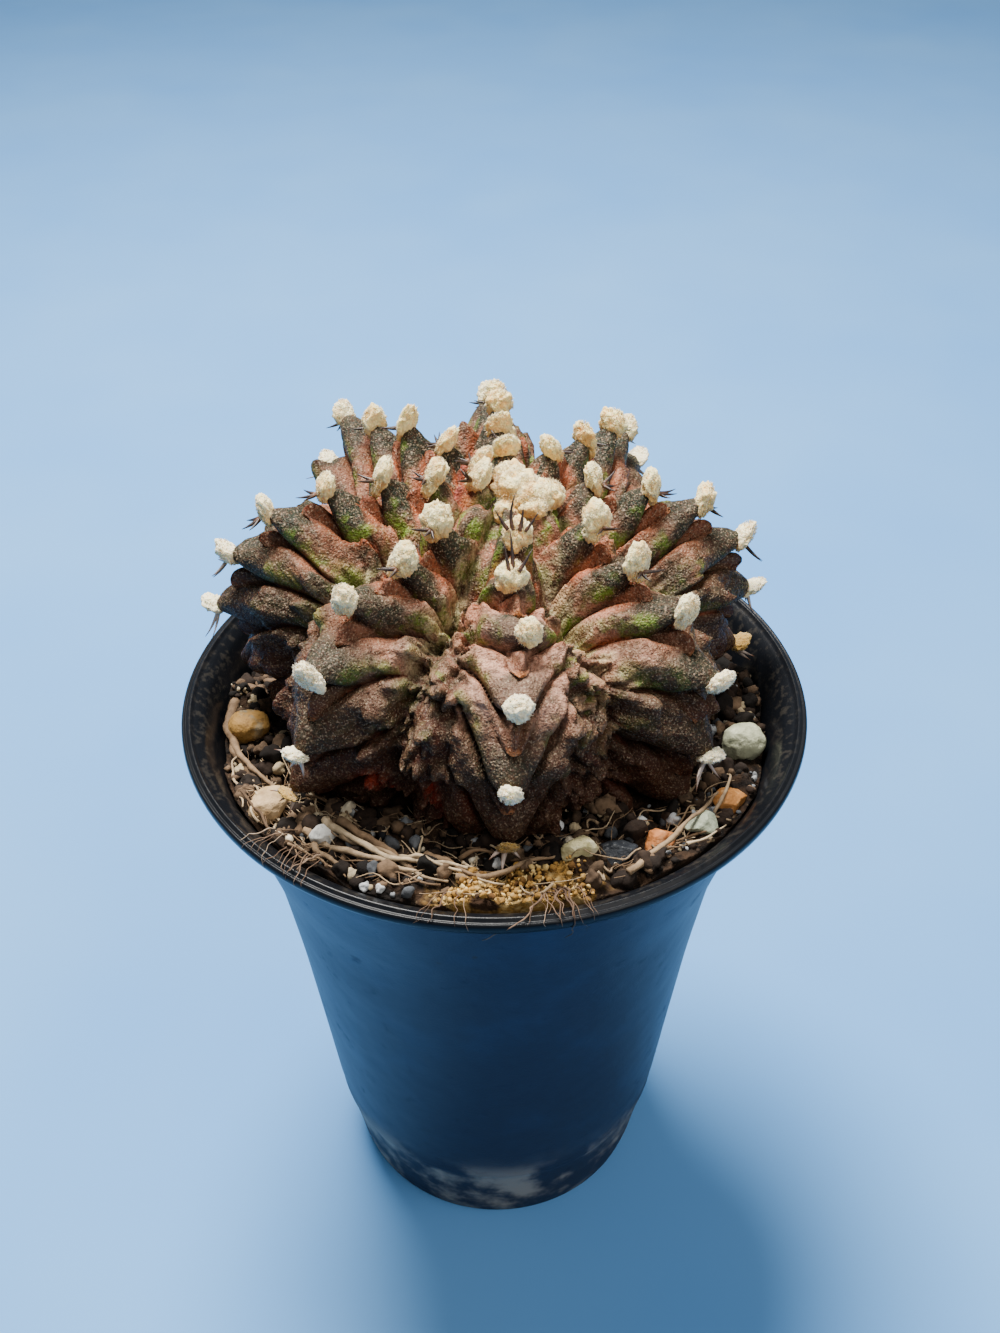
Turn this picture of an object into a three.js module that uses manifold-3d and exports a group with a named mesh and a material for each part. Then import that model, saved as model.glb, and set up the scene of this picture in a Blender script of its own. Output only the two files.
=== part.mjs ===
// A chin cactus with eight ribs, growing in a tall flared nursery pot, in millimetres.
// +Z is up, and the origin is the centre of the pot's foot, on the surface that it stands on.
// The side that faces -Y is the front, and azimuths run from it towards +X.

import * as THREE from "three";
import Module from "manifold-3d";
import { mergeVertices } from "three/addons/utils/BufferGeometryUtils.js";

const wasm = await Module();
wasm.setup();

// Driving dimensions of the pot
const POT_HEIGHT = 88;
const RIM_RADIUS = 40;
const POT_WALL = 1.0;
const POT_SIDES = 44;
const FOOT_RADIUS = 22.4;
const FOOT_INNER_RADIUS = 19.6;
const FLOOR_UNDERSIDE = 2.0;
const FLOOR_TOP = 3.4;
const DRAIN_RADIUS = 2.6;
const DRAIN_RING_RADIUS = 13;
const DRAIN_COUNT = 6;
const DRAIN_SIDES = 10;
const FOOT_BEVEL = 0.6;

// The gap that separate pieces keep where they touch
const SEAT_GAP = 0.3;

// Driving dimensions of the stem. The crest envelope is the curve of revolution that the
// tips of the tubercles reach.
const STEM_RADIUS = 34;
const STEM_TOP_HEIGHT = 15.5;
const STEM_WIDEST_Z = POT_HEIGHT + 10.4;
const STEM_LOW_HEIGHT = 28;
const TOP_SQUARENESS = 2.57;
const LOW_SQUARENESS = 2.2;
const ROOT_RADIUS = 4;
const ROOT_TIP_Z = 58;
const STEM_CENTRE = new THREE.Vector2(-1.7, 4.3);
const LEAN_PIVOT_Z = POT_HEIGHT - 5;
const LEAN_FORWARD = THREE.MathUtils.degToRad(2.4);
const LEAN_RIGHT = THREE.MathUtils.degToRad(5.1);
const CROWN_SHIFT = new THREE.Vector2(0.8, 4.8);
const BACK_SQUEEZE = 0.07;
const SOIL_LINE_Z = POT_HEIGHT - 4.5;
const BARE_FOOT = 5.5;

// The ribs: azimuth of the crest in degrees, distance along the crest from the crown to the
// first areole, and the spacing of the areoles, which widens towards the soil. The width is the
// weight with which a rib shares the room between two crests. The arms run back towards the crown
// by the pace for each millimetre aside, and end at their reach, a share of the way to the furrow.
const RIBS = [
  { azimuth: 3.7, first: 10.5, spacing: 6.2, width: 1.25, pace: 1.15, reach: 0.5 },
  { azimuth: 51.7, first: 12.0, spacing: 7.0, width: 1, pace: 0.55, reach: 0.86 },
  { azimuth: 97.6, first: 10.5, spacing: 6.6, width: 1, pace: 0.55, reach: 0.86 },
  { azimuth: 144.8, first: 9.1, spacing: 7.0, width: 1, pace: 0.55, reach: 0.86 },
  { azimuth: 182.9, first: 6.9, spacing: 5.6, width: 1, pace: 0.55, reach: 0.86 },
  { azimuth: 223.1, first: 5.2, spacing: 5.8, width: 1, pace: 0.55, reach: 0.86 },
  { azimuth: 271.4, first: 3.6, spacing: 5.15, width: 1, pace: 0.55, reach: 0.86 },
  { azimuth: 319.0, first: 11.7, spacing: 6.8, width: 1, pace: 0.55, reach: 0.86 },
];
const SPACING_GROWTH = 0.35;
const COLUMNS_PER_RIB = 8;
const ROWS_ABOVE_SOIL = 34;
const ROWS_BELOW_SOIL = 4;

// Relief of the stem. A tubercle begins at the groove above its areole, which is this share of a
// spacing up from it, and its chin hangs between the shares of the spacing below it.
const TUBERCLE_HEIGHT = 2.6;
const ARM_HEIGHT = 3.3;
const ARM_RISE = 3.6;
const ARM_RISE_WIDTH = 2.4;
const NOSE_HEIGHT = 2.9;
const NOSE_WIDTH = 2.9;
const NOSE_LENGTH_ABOVE = 3.4;
const NOSE_LENGTH_BELOW = 1.35;
const NOSE_DROOP = 1.1;
const GROOVE_SHARE = 0.38;
const CHIN_HEIGHT = 1.5;
const CHIN_DROOP = 0.9;
const CHIN_START_SHARE = 0.12;
const CHIN_LENGTH_SHARE = 0.45;
const FURROW_DEPTH = 6.2;
const FURROW_FOOT_LOSS = 1.6;
const LUMP_HEIGHT = 0.75;
const BROAD_LUMP_HEIGHT = 0.35;
const WAIST_DEPTH = 5;

// Wool and spines
const TUFT_RADIUS_YOUNG = 1.8;
const TUFT_RADIUS_OLD = 1.25;
const SPINES_PER_AREOLE = 3;
const SPINE_RADIUS = 0.3;
const SPINE_LENGTH_YOUNG = 2.6;
const SPINE_LENGTH_OLD = 4.6;
const SPINE_ROOT = 1.2;
const CROWN_WOOL_HEIGHT = 2.8;
const CROWN_WOOL_RADIUS = 4.2;
const CROWN_WOOL_OFFSET = 2.6;
const CROWN_WOOL_AZIMUTH = 95;
const CROWN_WOOL_ROOT = 3;

// Potting mix
const MIX_TOP_Z = POT_HEIGHT - 5.6;
const MIX_FRONT_MOUND = 3.2;
const MIX_LUMPS = 0.6;
const CRUST_HEIGHT = 1.0;
const CRUST_AZIMUTH = 4.5;
const CRUST_HALF_WIDTH = 15;
const CRUST_INNER_RADIUS = 30.4;
const MIX_SIDES = 40;
const MIX_BRIM_RADIUS = 34.7;
const MIX_TOP_RADII = [20, 24.5, 28, 30.8, 33.2, MIX_BRIM_RADIUS];
const GRIT_TRIES = 95;
const GRIT_INNER_REACH = 25.5;
const GRIT_REACH = 33.0;
const ROOT_STRAND_RADIUS = 0.5;
const STRAND_SIDES = 4;
const STRAND_STEPS = 7;

// Stones that lie on the mix: azimuth, distance from the pot's axis, half sizes, turn and colour.
const STONES = [
  {
    name: "stone_ochre_left",
    azimuth: 275, distance: 32.0, half: [2.7, 2.3, 2.0], turn: 0.4, colour: 0xa57a3c,
  },
  {
    name: "stone_tan_left",
    azimuth: 304, distance: 33.0, half: [2.6, 2.0, 1.8], turn: 1.1, colour: 0xb09068,
  },
  {
    name: "stone_pale_disc",
    azimuth: 78.5, distance: 32.3, half: [2.6, 2.2, 2.6], turn: 0.2, colour: 0xb9c2ac,
  },
  {
    name: "stone_amber_right",
    azimuth: 59.5, distance: 33.4, half: [2.3, 1.8, 1.7], turn: 0.7, colour: 0xa87b48,
  },
  {
    name: "stone_grey_right",
    azimuth: 46, distance: 33.6, half: [1.9, 1.6, 1.4], turn: 0.1, colour: 0x9aa096,
  },
  {
    name: "stone_orange_front",
    azimuth: 37.5, distance: 31.8, half: [2.2, 1.8, 1.8], turn: 0.9, colour: 0xb97648,
  },
  {
    name: "stone_charcoal_front",
    azimuth: 28, distance: 30.0, half: [2.3, 1.7, 1.6], turn: 0.3, colour: 0x34363a,
  },
  {
    name: "stone_yellow_front",
    azimuth: 18.5, distance: 30.4, half: [2.1, 1.5, 1.6], turn: 0.5, colour: 0xb5a878,
  },
  {
    name: "stone_white_front",
    azimuth: 320.5, distance: 31.6, half: [1.7, 1.4, 1.3], turn: 0.8, colour: 0xc4c2ba,
  },
  {
    name: "stone_grey_back",
    azimuth: 232, distance: 32.4, half: [2.2, 1.7, 1.5], turn: 1.3, colour: 0x8b8d8c,
  },
];
const STONE_SINK = 0.35;

const radians = THREE.MathUtils.degToRad;
const smooth = THREE.MathUtils.smoothstep;

// A small seeded generator, so that the object is the same each time.
function seeded(seed) {
  let state = seed;
  return () => {
    state = (Math.imul(state, 1664525) + 1013904223) >>> 0;
    return state / 4294967296;
  };
}

// A smooth lumpy field in space: waves in scattered directions, near -1 to 1 in all.
function lumpyField(seed, count, wavelength) {
  const draw = seeded(seed);
  const waves = [];
  for (let i = 0; i < count; i++) {
    const turn = draw() * 2 * Math.PI;
    const rise = 2 * draw() - 1;
    const flat = Math.sqrt(1 - rise * rise);
    const pace = (2 * Math.PI) / (wavelength * (0.7 + 0.6 * draw()));
    const shift = draw() * 2 * Math.PI;
    waves.push([flat * Math.cos(turn) * pace, flat * Math.sin(turn) * pace, rise * pace, shift]);
  }
  const scale = 1 / Math.sqrt(count / 2);
  return (x, y, z) =>
    scale * waves.reduce((sum, [a, b, c, d]) => sum + Math.sin(a * x + b * y + c * z + d), 0);
}

const broadLumps = lumpyField(11, 6, 13);
const middleLumps = lumpyField(23, 8, 5.5);
const armWander = lumpyField(51, 5, 9);
const soilLumps = lumpyField(71, 8, 7);

// The crest envelope as samples of radius and height against the distance along it.
function makeMeridian() {
  const samples = [];
  const steps = 900;
  for (let i = 0; i <= steps; i++) {
    const angle = (Math.PI * i) / steps;
    const c = Math.cos(angle);
    const square = c >= 0 ? TOP_SQUARENESS : LOW_SQUARENESS;
    const reach = c >= 0 ? STEM_TOP_HEIGHT : -STEM_LOW_HEIGHT;
    const r = STEM_RADIUS * Math.pow(Math.abs(Math.sin(angle)), 2 / square);
    const z = STEM_WIDEST_Z + reach * Math.pow(Math.abs(c), 2 / square);
    if (c < 0 && r < ROOT_RADIUS) break;
    samples.push({ r, z });
  }
  const last = samples[samples.length - 1];
  const rootSteps = 40;
  for (let i = 1; i <= rootSteps; i++) {
    const q = i / rootSteps;
    const r = ROOT_RADIUS * Math.pow(1 - q, 0.6);
    samples.push({ r, z: THREE.MathUtils.lerp(last.z, ROOT_TIP_Z, q) });
  }
  samples[0].s = 0;
  for (let i = 1; i < samples.length; i++) {
    const step = Math.hypot(samples[i].r - samples[i - 1].r, samples[i].z - samples[i - 1].z);
    samples[i].s = samples[i - 1].s + step;
  }
  return samples;
}

const meridian = makeMeridian();
const stemLength = meridian[meridian.length - 1].s;
const widestDistance = meridian.reduce((a, b) => (b.r > a.r ? b : a)).s;
const soilDistance = meridian.find((p) => p.s > widestDistance && p.z < SOIL_LINE_Z).s;

function onMeridian(s) {
  let low = 0;
  let high = meridian.length - 1;
  while (high - low > 1) {
    const middle = (low + high) >> 1;
    if (meridian[middle].s <= s) low = middle;
    else high = middle;
  }
  const a = meridian[low];
  const b = meridian[high];
  const q = THREE.MathUtils.clamp((s - a.s) / Math.max(b.s - a.s, 1e-9), 0, 1);
  return { r: THREE.MathUtils.lerp(a.r, b.r, q), z: THREE.MathUtils.lerp(a.z, b.z, q) };
}

// How far the outward direction has turned from straight up, along the crest.
const TURNS = [
  [0, 0],
  [14, 12],
  [widestDistance, 84],
  [widestDistance + 24, 108],
  [stemLength, 112],
];
function outwardTurn(s) {
  for (let i = 1; i < TURNS.length; i++) {
    const [s0, t0] = TURNS[i - 1];
    const [s1, t1] = TURNS[i];
    if (s <= s1) return radians(t0 + ((t1 - t0) * (s - s0)) / (s1 - s0));
  }
  return radians(TURNS[TURNS.length - 1][1]);
}

function areoleDistance(rib, index) {
  return rib.first + rib.spacing * index + SPACING_GROWTH * index * index;
}

// The areole number at a distance along the crest, with fractions between areoles.
function areolePhase(rib, s) {
  const past = s - rib.first;
  if (past < 0) return past / rib.spacing;
  const root = Math.sqrt(rib.spacing * rib.spacing + 4 * SPACING_GROWTH * past);
  return (root - rib.spacing) / (2 * SPACING_GROWTH);
}

// The rib that an azimuth belongs to, with the share of the way to the furrow beside it.
function nearestRib(azimuth) {
  let best = null;
  RIBS.forEach((rib, index) => {
    const off = THREE.MathUtils.euclideanModulo(azimuth - rib.azimuth + 180, 360) - 180;
    const reach = Math.abs(off) / rib.width;
    if (!best || reach < best.reach) best = { rib, index, off, reach };
  });
  const { rib, index, off } = best;
  const other = RIBS[(index + (off >= 0 ? 1 : RIBS.length - 1)) % RIBS.length];
  const gap = THREE.MathUtils.euclideanModulo(
    off >= 0 ? other.azimuth - rib.azimuth : rib.azimuth - other.azimuth,
    360,
  );
  const room = (gap * rib.width) / (rib.width + other.width);
  return { rib, off, share: Math.min(1, Math.abs(off) / room) };
}

// The height of a tubercle's cross section at a phase, from 0 in one groove to 1 in the next.
function armSection(phase) {
  const rounding = Math.pow(Math.abs(2 * THREE.MathUtils.clamp(phase, 0, 1) - 1), 2.8);
  return Math.sqrt(Math.max(0, 1 - rounding));
}

// The nose and the chin of the tubercle that a place near a crest belongs to, each from 0 to 1.
function tubercleTip(rib, s, side, size) {
  const crest = areolePhase(rib, s) + GROOVE_SHARE;
  const index = Math.max(0, Math.floor(crest));
  const past = s - areoleDistance(rib, index);
  const step = areoleDistance(rib, index + 1) - areoleDistance(rib, index);
  const above = Math.min(past, 0) / (NOSE_LENGTH_ABOVE * size);
  const below = Math.max(past, 0) / (NOSE_LENGTH_BELOW * size);
  const aside = side / (NOSE_WIDTH * size);
  const nose = Math.exp(-above * above - below * below - aside * aside) * armSection(crest - index);
  const down = (past / step - CHIN_START_SHARE) / CHIN_LENGTH_SHARE;
  const taper = side / ((2.3 - 1.5 * THREE.MathUtils.clamp(down, 0, 1)) * size);
  const tongue = smooth(down, 0, 0.6) * (1 - smooth(down, 0.93, 1.06));
  const tip = smooth(down, 0.4, 0.9);
  return { nose, chin: tongue * Math.exp(-taper * taper), tip };
}

// The stem's relief, measured outwards from the crest envelope. Each tubercle is a nose at
// its areole, with two arms that run back towards the crown and down into the furrows, and a
// narrow chin below.
function relief(azimuth, s) {
  const { rib, off, share } = nearestRib(azimuth);
  const { r, z } = onMeridian(s);
  const side = radians(Math.abs(off)) * Math.max(r, 0.5);
  const turn = radians(azimuth);
  const x = r * Math.sin(turn);
  const y = -r * Math.cos(turn);
  const grown = smooth(s, 2, 16);
  const buried = smooth(s, soilDistance - 1, soilDistance + 9);
  const size = 0.55 + 0.45 * grown;

  const bend = 0.9 * armWander(x, y, z) * smooth(share, 0.1, 0.8) * grown;
  const rise = ARM_RISE * grown * (1 - Math.exp(-side / ARM_RISE_WIDTH));
  const phase = areolePhase(rib, s + rib.pace * side + rise + bend) + GROOVE_SHARE;
  const fade = 1 - 0.85 * smooth(share, rib.reach, rib.reach + 0.16);
  const armShare = (0.74 + 0.26 * Math.exp(-side / 6)) * (0.4 + 0.6 * grown) * fade;
  const arm = armSection(THREE.MathUtils.euclideanModulo(phase, 1)) * armShare;
  const { nose, chin, tip } = tubercleTip(rib, s, side, size);

  const depth = FURROW_DEPTH - FURROW_FOOT_LOSS * smooth(s, 40, 54);
  const slope = 0.62 * Math.pow(share, 1.35) + 0.38 * smooth(share, 0.62, 1.02);
  const furrow = depth * smooth(s, 1, 26) * slope;
  const lumps =
    LUMP_HEIGHT * middleLumps(x, y, z) * smooth(share, 0.25, 0.85) +
    BROAD_LUMP_HEIGHT * broadLumps(x, y, z);
  const height =
    ARM_HEIGHT * arm + (NOSE_HEIGHT * nose + CHIN_HEIGHT * chin) * size + lumps * grown -
    (TUBERCLE_HEIGHT + ARM_HEIGHT) * size - furrow;
  const waist = -WAIST_DEPTH * Math.exp(-Math.max(s - soilDistance, 0) / 14);
  const droop = (NOSE_DROOP * nose + CHIN_DROOP * chin * tip) * grown;
  return { height: height * (1 - buried) + waist * buried, droop: droop * (1 - buried) };
}

// Moves a point of the upright stem to where the leaning stem has it.
function place(r, z, azimuth) {
  const turn = radians(azimuth);
  const lift = THREE.MathUtils.clamp((z - STEM_WIDEST_Z) / STEM_TOP_HEIGHT, 0, 1);
  const back = Math.max(0, -Math.cos(turn)) * smooth(STEM_WIDEST_Z + 10 - z, 0, 8);
  const flat = r * (1 - BACK_SQUEEZE * back);
  return new THREE.Vector3(
    flat * Math.sin(turn) + CROWN_SHIFT.x * lift,
    -flat * Math.cos(turn) + CROWN_SHIFT.y * lift,
    z - LEAN_PIVOT_Z,
  )
    .applyAxisAngle(new THREE.Vector3(1, 0, 0), LEAN_FORWARD)
    .applyAxisAngle(new THREE.Vector3(0, 1, 0), LEAN_RIGHT)
    .add(new THREE.Vector3(STEM_CENTRE.x, STEM_CENTRE.y, LEAN_PIVOT_Z));
}

// A point of the stem's skin, or at a distance off it.
function skinPoint(azimuth, s, off = 0) {
  const { height, droop } = relief(azimuth, s);
  const { r, z } = onMeridian(s);
  const a = onMeridian(Math.max(0, s - 0.25));
  const b = onMeridian(Math.min(stemLength, s + 0.25));
  const length = Math.hypot(b.r - a.r, b.z - a.z) || 1;
  const turn = outwardTurn(s);
  const flat = r + Math.sin(turn) * (height + off) + ((b.r - a.r) / length) * droop;
  const high = z + Math.cos(turn) * (height + off) + ((b.z - a.z) / length) * droop;
  return place(Math.max(flat, Math.min(r, 0.02)), high, azimuth);
}

// A closed surface through rings of points, with a point at each end.
function ringGeometry(start, rings, end) {
  const count = rings[0].length;
  const points = [start, ...rings.flat(), end];
  const index = [];
  const at = (ring, i) => 1 + ring * count + (i % count);
  for (let i = 0; i < count; i++) {
    index.push(0, at(0, i), at(0, i + 1));
    for (let ring = 0; ring < rings.length - 1; ring++) {
      index.push(at(ring, i), at(ring + 1, i), at(ring + 1, i + 1));
      index.push(at(ring, i), at(ring + 1, i + 1), at(ring, i + 1));
    }
    index.push(at(rings.length - 1, i), points.length - 1, at(rings.length - 1, i + 1));
  }
  const geometry = new THREE.BufferGeometry().setFromPoints(points);
  geometry.setIndex(index);
  return geometry;
}

function toSolid(geometry) {
  const bare = geometry.clone();
  bare.deleteAttribute("normal");
  bare.deleteAttribute("uv");
  const merged = mergeVertices(bare, 1e-4);
  return new wasm.Manifold(
    new wasm.Mesh({
      numProp: 3,
      vertProperties: new Float32Array(merged.attributes.position.array),
      triVerts: new Uint32Array(merged.index.array),
    }),
  );
}

function toGeometry(solid) {
  const mesh = solid.getMesh();
  const geometry = new THREE.BufferGeometry();
  geometry.setAttribute("position", new THREE.BufferAttribute(mesh.vertProperties, 3));
  geometry.setIndex(new THREE.BufferAttribute(mesh.triVerts, 1));
  geometry.computeVertexNormals();
  return geometry;
}

// Azimuths of the mesh columns: evenly from each crest to the next.
function columnAzimuths() {
  const azimuths = [];
  RIBS.forEach((rib, index) => {
    const next = RIBS[(index + 1) % RIBS.length];
    const gap = THREE.MathUtils.euclideanModulo(next.azimuth - rib.azimuth, 360);
    for (let i = 0; i < COLUMNS_PER_RIB; i++) {
      azimuths.push(rib.azimuth + (gap * i) / COLUMNS_PER_RIB);
    }
  });
  return azimuths;
}

// The bare stem, or the stem grown by a distance, which cuts its seat in what it touches.
function stemSolid(off = 0) {
  const azimuths = columnAzimuths();
  const rows = [];
  for (let i = 1; i <= ROWS_ABOVE_SOIL; i++) rows.push((soilDistance * i) / ROWS_ABOVE_SOIL);
  for (let i = 1; i <= ROWS_BELOW_SOIL; i++) {
    const q = i / (ROWS_BELOW_SOIL + 0.5);
    rows.push(THREE.MathUtils.lerp(soilDistance, stemLength, q));
  }
  const rings = rows.map((s) => azimuths.map((azimuth) => skinPoint(azimuth, s, off)));
  const top = skinPoint(0, 0, off);
  const tip = place(0, ROOT_TIP_Z - off, 0);
  return toSolid(ringGeometry(top, rings, tip));
}

// Where an areole sits, which way it faces, and how far it has aged.
function areole(rib, index) {
  const s = areoleDistance(rib, index);
  const point = skinPoint(rib.azimuth, s);
  const facing = skinPoint(rib.azimuth, s, 1).sub(point).normalize();
  const down = skinPoint(rib.azimuth, s + 0.8).sub(skinPoint(rib.azimuth, s - 0.8)).normalize();
  return { point, facing, down, age: smooth(s, 8, soilDistance), room: soilDistance - s };
}

function areoles() {
  const all = [];
  for (const rib of RIBS) {
    for (let i = 0; areoleDistance(rib, i) < soilDistance - BARE_FOOT; i++) {
      all.push(areole(rib, i));
    }
  }
  return all;
}

// A lump of wool, a little flattened along the way it faces and rooted in the nose.
function tuftSolid({ point, facing, age }) {
  const radius = THREE.MathUtils.lerp(TUFT_RADIUS_YOUNG, TUFT_RADIUS_OLD, age);
  const ball = new THREE.SphereGeometry(radius, 5, 4);
  ball.rotateX(Math.PI / 2);
  const turn = new THREE.Quaternion().setFromUnitVectors(new THREE.Vector3(0, 0, 1), facing);
  ball.applyQuaternion(turn);
  const centre = point.clone().addScaledVector(facing, radius * 0.15);
  ball.translate(centre.x, centre.y, centre.z);
  return toSolid(ball);
}

// Spines fan out from the lower side of an areole, and reach outwards where the soil is near.
function spineSolids({ point, facing, down, age, room }) {
  const grown = THREE.MathUtils.lerp(SPINE_LENGTH_YOUNG, SPINE_LENGTH_OLD, age * age);
  const length = Math.min(grown, room * 0.45) + SPINE_ROOT;
  const across = new THREE.Vector3().crossVectors(facing, down).normalize();
  const droop = (0.55 + 0.35 * age) * smooth(room, 6, 14);
  const solids = [];
  for (let i = 0; i < SPINES_PER_AREOLE; i++) {
    const fan = i - (SPINES_PER_AREOLE - 1) / 2;
    const way = facing
      .clone()
      .multiplyScalar(1 - 0.35 * age)
      .addScaledVector(down, droop)
      .addScaledVector(across, 0.75 * fan)
      .normalize();
    const cone = new THREE.ConeGeometry(SPINE_RADIUS, length, 3);
    cone.translate(0, length / 2, 0);
    cone.applyQuaternion(
      new THREE.Quaternion().setFromUnitVectors(new THREE.Vector3(0, 1, 0), way),
    );
    const foot = point.clone().addScaledVector(facing, -0.5).addScaledVector(down, 0.5);
    cone.translate(foot.x, foot.y, foot.z);
    solids.push(toSolid(cone));
  }
  return solids;
}

// The whole plant: stem, wool of the areoles and spines, grown together.
function cactusSolid() {
  let plant = stemSolid();
  for (const place of areoles()) {
    plant = plant.add(tuftSolid(place));
    for (const spine of spineSolids(place)) plant = plant.add(spine);
  }
  return plant;
}

// The cushion of young wool over the growing point: a dome that is hollowed to sit on the skin.
function crownWoolGeometry() {
  const azimuths = columnAzimuths().filter((_, i) => i % 4 === 0);
  const reach = (azimuth) =>
    CROWN_WOOL_RADIUS + CROWN_WOOL_OFFSET * Math.cos(radians(azimuth - CROWN_WOOL_AZIMUTH));
  const ring = (share) =>
    azimuths.map((azimuth) => {
      const bulge = 1 + 0.12 * Math.sin(radians(5 * azimuth));
      const dome = CROWN_WOOL_HEIGHT * bulge * Math.sqrt(Math.max(0, 1 - share * share));
      return skinPoint(azimuth, share * reach(azimuth), dome);
    });
  const top = skinPoint(0, 0, CROWN_WOOL_HEIGHT);
  const foot = skinPoint(0, 0, -CROWN_WOOL_ROOT);
  const dome = toSolid(ringGeometry(top, [0.3, 0.6, 0.85, 1].map(ring), foot));
  return toGeometry(dome.subtract(stemSolid(SEAT_GAP)));
}

// The pot's outer wall from the foot to the lip, as radius and height.
const POT_OUTSIDE = [
  [FOOT_RADIUS, 0],
  [24.7, 12.6],
  [25.3, 14.4],
  [26.9, 30],
  [28.8, 48],
  [31.0, 64],
  [34.4, 76],
  [37.5, 86.0],
];

// The inner wall is the outer one moved in by the wall's thickness.
function potInside(gap) {
  return POT_OUTSIDE.slice(1).map(([r, z]) => [r - POT_WALL - gap, z]);
}

function potGeometry() {
  const lip = [
    [39.3, 85.9],
    [RIM_RADIUS, 86.5],
    [39.6, POT_HEIGHT],
    [37.4, POT_HEIGHT],
    [36.9, 87.2],
  ];
  const inside = potInside(0).reverse();
  inside[inside.length - 1] = [FOOT_RADIUS - FOOT_BEVEL, FLOOR_TOP];
  const profile = [
    [0, FLOOR_UNDERSIDE],
    [FOOT_INNER_RADIUS - FOOT_BEVEL, FLOOR_UNDERSIDE],
    [FOOT_INNER_RADIUS, 0],
    ...POT_OUTSIDE,
    ...lip,
    ...inside,
    [0, FLOOR_TOP],
  ].map(([r, z]) => new THREE.Vector2(r, z));
  const shell = new THREE.LatheGeometry(profile, POT_SIDES);
  shell.rotateX(Math.PI / 2);
  let pot = toSolid(shell);
  for (let i = 0; i <= DRAIN_COUNT; i++) {
    const distance = i === DRAIN_COUNT ? 0 : DRAIN_RING_RADIUS;
    const turn = (2 * Math.PI * i) / DRAIN_COUNT;
    const drill = new THREE.CylinderGeometry(DRAIN_RADIUS, DRAIN_RADIUS, 4, DRAIN_SIDES);
    drill.rotateX(Math.PI / 2);
    drill.translate(
      distance * Math.cos(turn),
      distance * Math.sin(turn),
      (FLOOR_UNDERSIDE + FLOOR_TOP) / 2,
    );
    pot = pot.subtract(toSolid(drill));
  }
  return toGeometry(pot);
}

// The height of the mix: higher at the front, where roots and grit are heaped up and a dry
// crust lies along the rim.
function mixHeight(x, y) {
  const mound = MIX_FRONT_MOUND * smooth(-y, 8, 32);
  const aside = Math.abs(THREE.MathUtils.radToDeg(Math.atan2(x, -y)) - CRUST_AZIMUTH);
  const crust =
    CRUST_HEIGHT *
    (1 - smooth(aside, CRUST_HALF_WIDTH - 4, CRUST_HALF_WIDTH + 4)) *
    smooth(Math.hypot(x, y), CRUST_INNER_RADIUS, CRUST_INNER_RADIUS + 1.6);
  return MIX_TOP_Z + mound + crust + MIX_LUMPS * soilLumps(x, y, 0);
}

function mixSolid() {
  const ring = (r, heightAt) => {
    const points = [];
    for (let i = 0; i < MIX_SIDES; i++) {
      const turn = (-2 * Math.PI * i) / MIX_SIDES;
      const x = r * Math.sin(turn);
      const y = r * Math.cos(turn);
      points.push(new THREE.Vector3(x, y, heightAt(x, y)));
    }
    return points;
  };
  const floorZ = FLOOR_TOP + SEAT_GAP;
  const wall = potInside(SEAT_GAP).slice(1, -1).reverse();
  const foot = [FOOT_RADIUS - FOOT_BEVEL - 2 * SEAT_GAP, floorZ];
  const rings = [
    ...MIX_TOP_RADII.map((r) => ring(r, mixHeight)),
    ...[...wall, foot].map(([r, z]) => ring(r, () => z)),
  ];
  const top = new THREE.Vector3(0, 0, MIX_TOP_Z);
  return toSolid(ringGeometry(top, rings, new THREE.Vector3(0, 0, floorZ)));
}

// An uneven stone about the origin, or the same stone grown by a distance.
function stoneGeometry({ half, turn }, seed, off = 0) {
  const field = lumpyField(seed, 5, 1.6);
  const shape = new THREE.IcosahedronGeometry(1, 1);
  const position = shape.attributes.position;
  const point = new THREE.Vector3();
  for (let i = 0; i < position.count; i++) {
    point.fromBufferAttribute(position, i);
    const swell = 1 + 0.09 * field(point.x, point.y, point.z);
    point.set(point.x * half[0], point.y * half[1], point.z * half[2]).multiplyScalar(swell);
    point.setLength(point.length() + off);
    position.setXYZ(i, point.x, point.y, point.z);
  }
  shape.rotateX(0.3 * Math.sin(seed));
  shape.rotateZ(turn);
  return shape;
}

function stoneCentre({ azimuth, distance, half }) {
  const turn = radians(azimuth);
  const x = distance * Math.sin(turn);
  const y = -distance * Math.cos(turn);
  return new THREE.Vector3(x, y, mixHeight(x, y) + half[2] * (1 - 2 * STONE_SINK));
}

// A spot on the mix, at a distance out from the stem's skin.
function spotBesideStem(azimuth, out) {
  const turn = radians(azimuth);
  const skin = skinPoint(azimuth, soilDistance);
  return new THREE.Vector2(skin.x + out * Math.sin(turn), skin.y - out * Math.cos(turn));
}

function isClearOfStones(spot, room) {
  return STONES.every((stone) => {
    const centre = stoneCentre(stone);
    return Math.hypot(spot.x - centre.x, spot.y - centre.y) > stone.half[0] + room;
  });
}

// Grit that is stuck in the surface of the mix, scattered between the stem and the wall.
function gritSolids() {
  const draw = seeded(5);
  const solids = [];
  for (let tries = 0; tries < GRIT_TRIES; tries++) {
    const radius = 0.7 + 0.7 * draw();
    const spot = spotBesideStem(360 * draw(), radius + 1.2 + 9 * draw());
    const turn = 3 * draw();
    if (spot.length() < GRIT_INNER_REACH || spot.length() > GRIT_REACH) continue;
    if (!isClearOfStones(spot, radius + 0.8)) continue;
    const crumb = new THREE.OctahedronGeometry(radius, 0);
    crumb.scale(1.2, 0.9, 0.9);
    crumb.rotateZ(turn);
    crumb.translate(spot.x, spot.y, mixHeight(spot.x, spot.y) + 0.1 * radius);
    solids.push(toSolid(crumb));
  }
  return solids;
}

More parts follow.
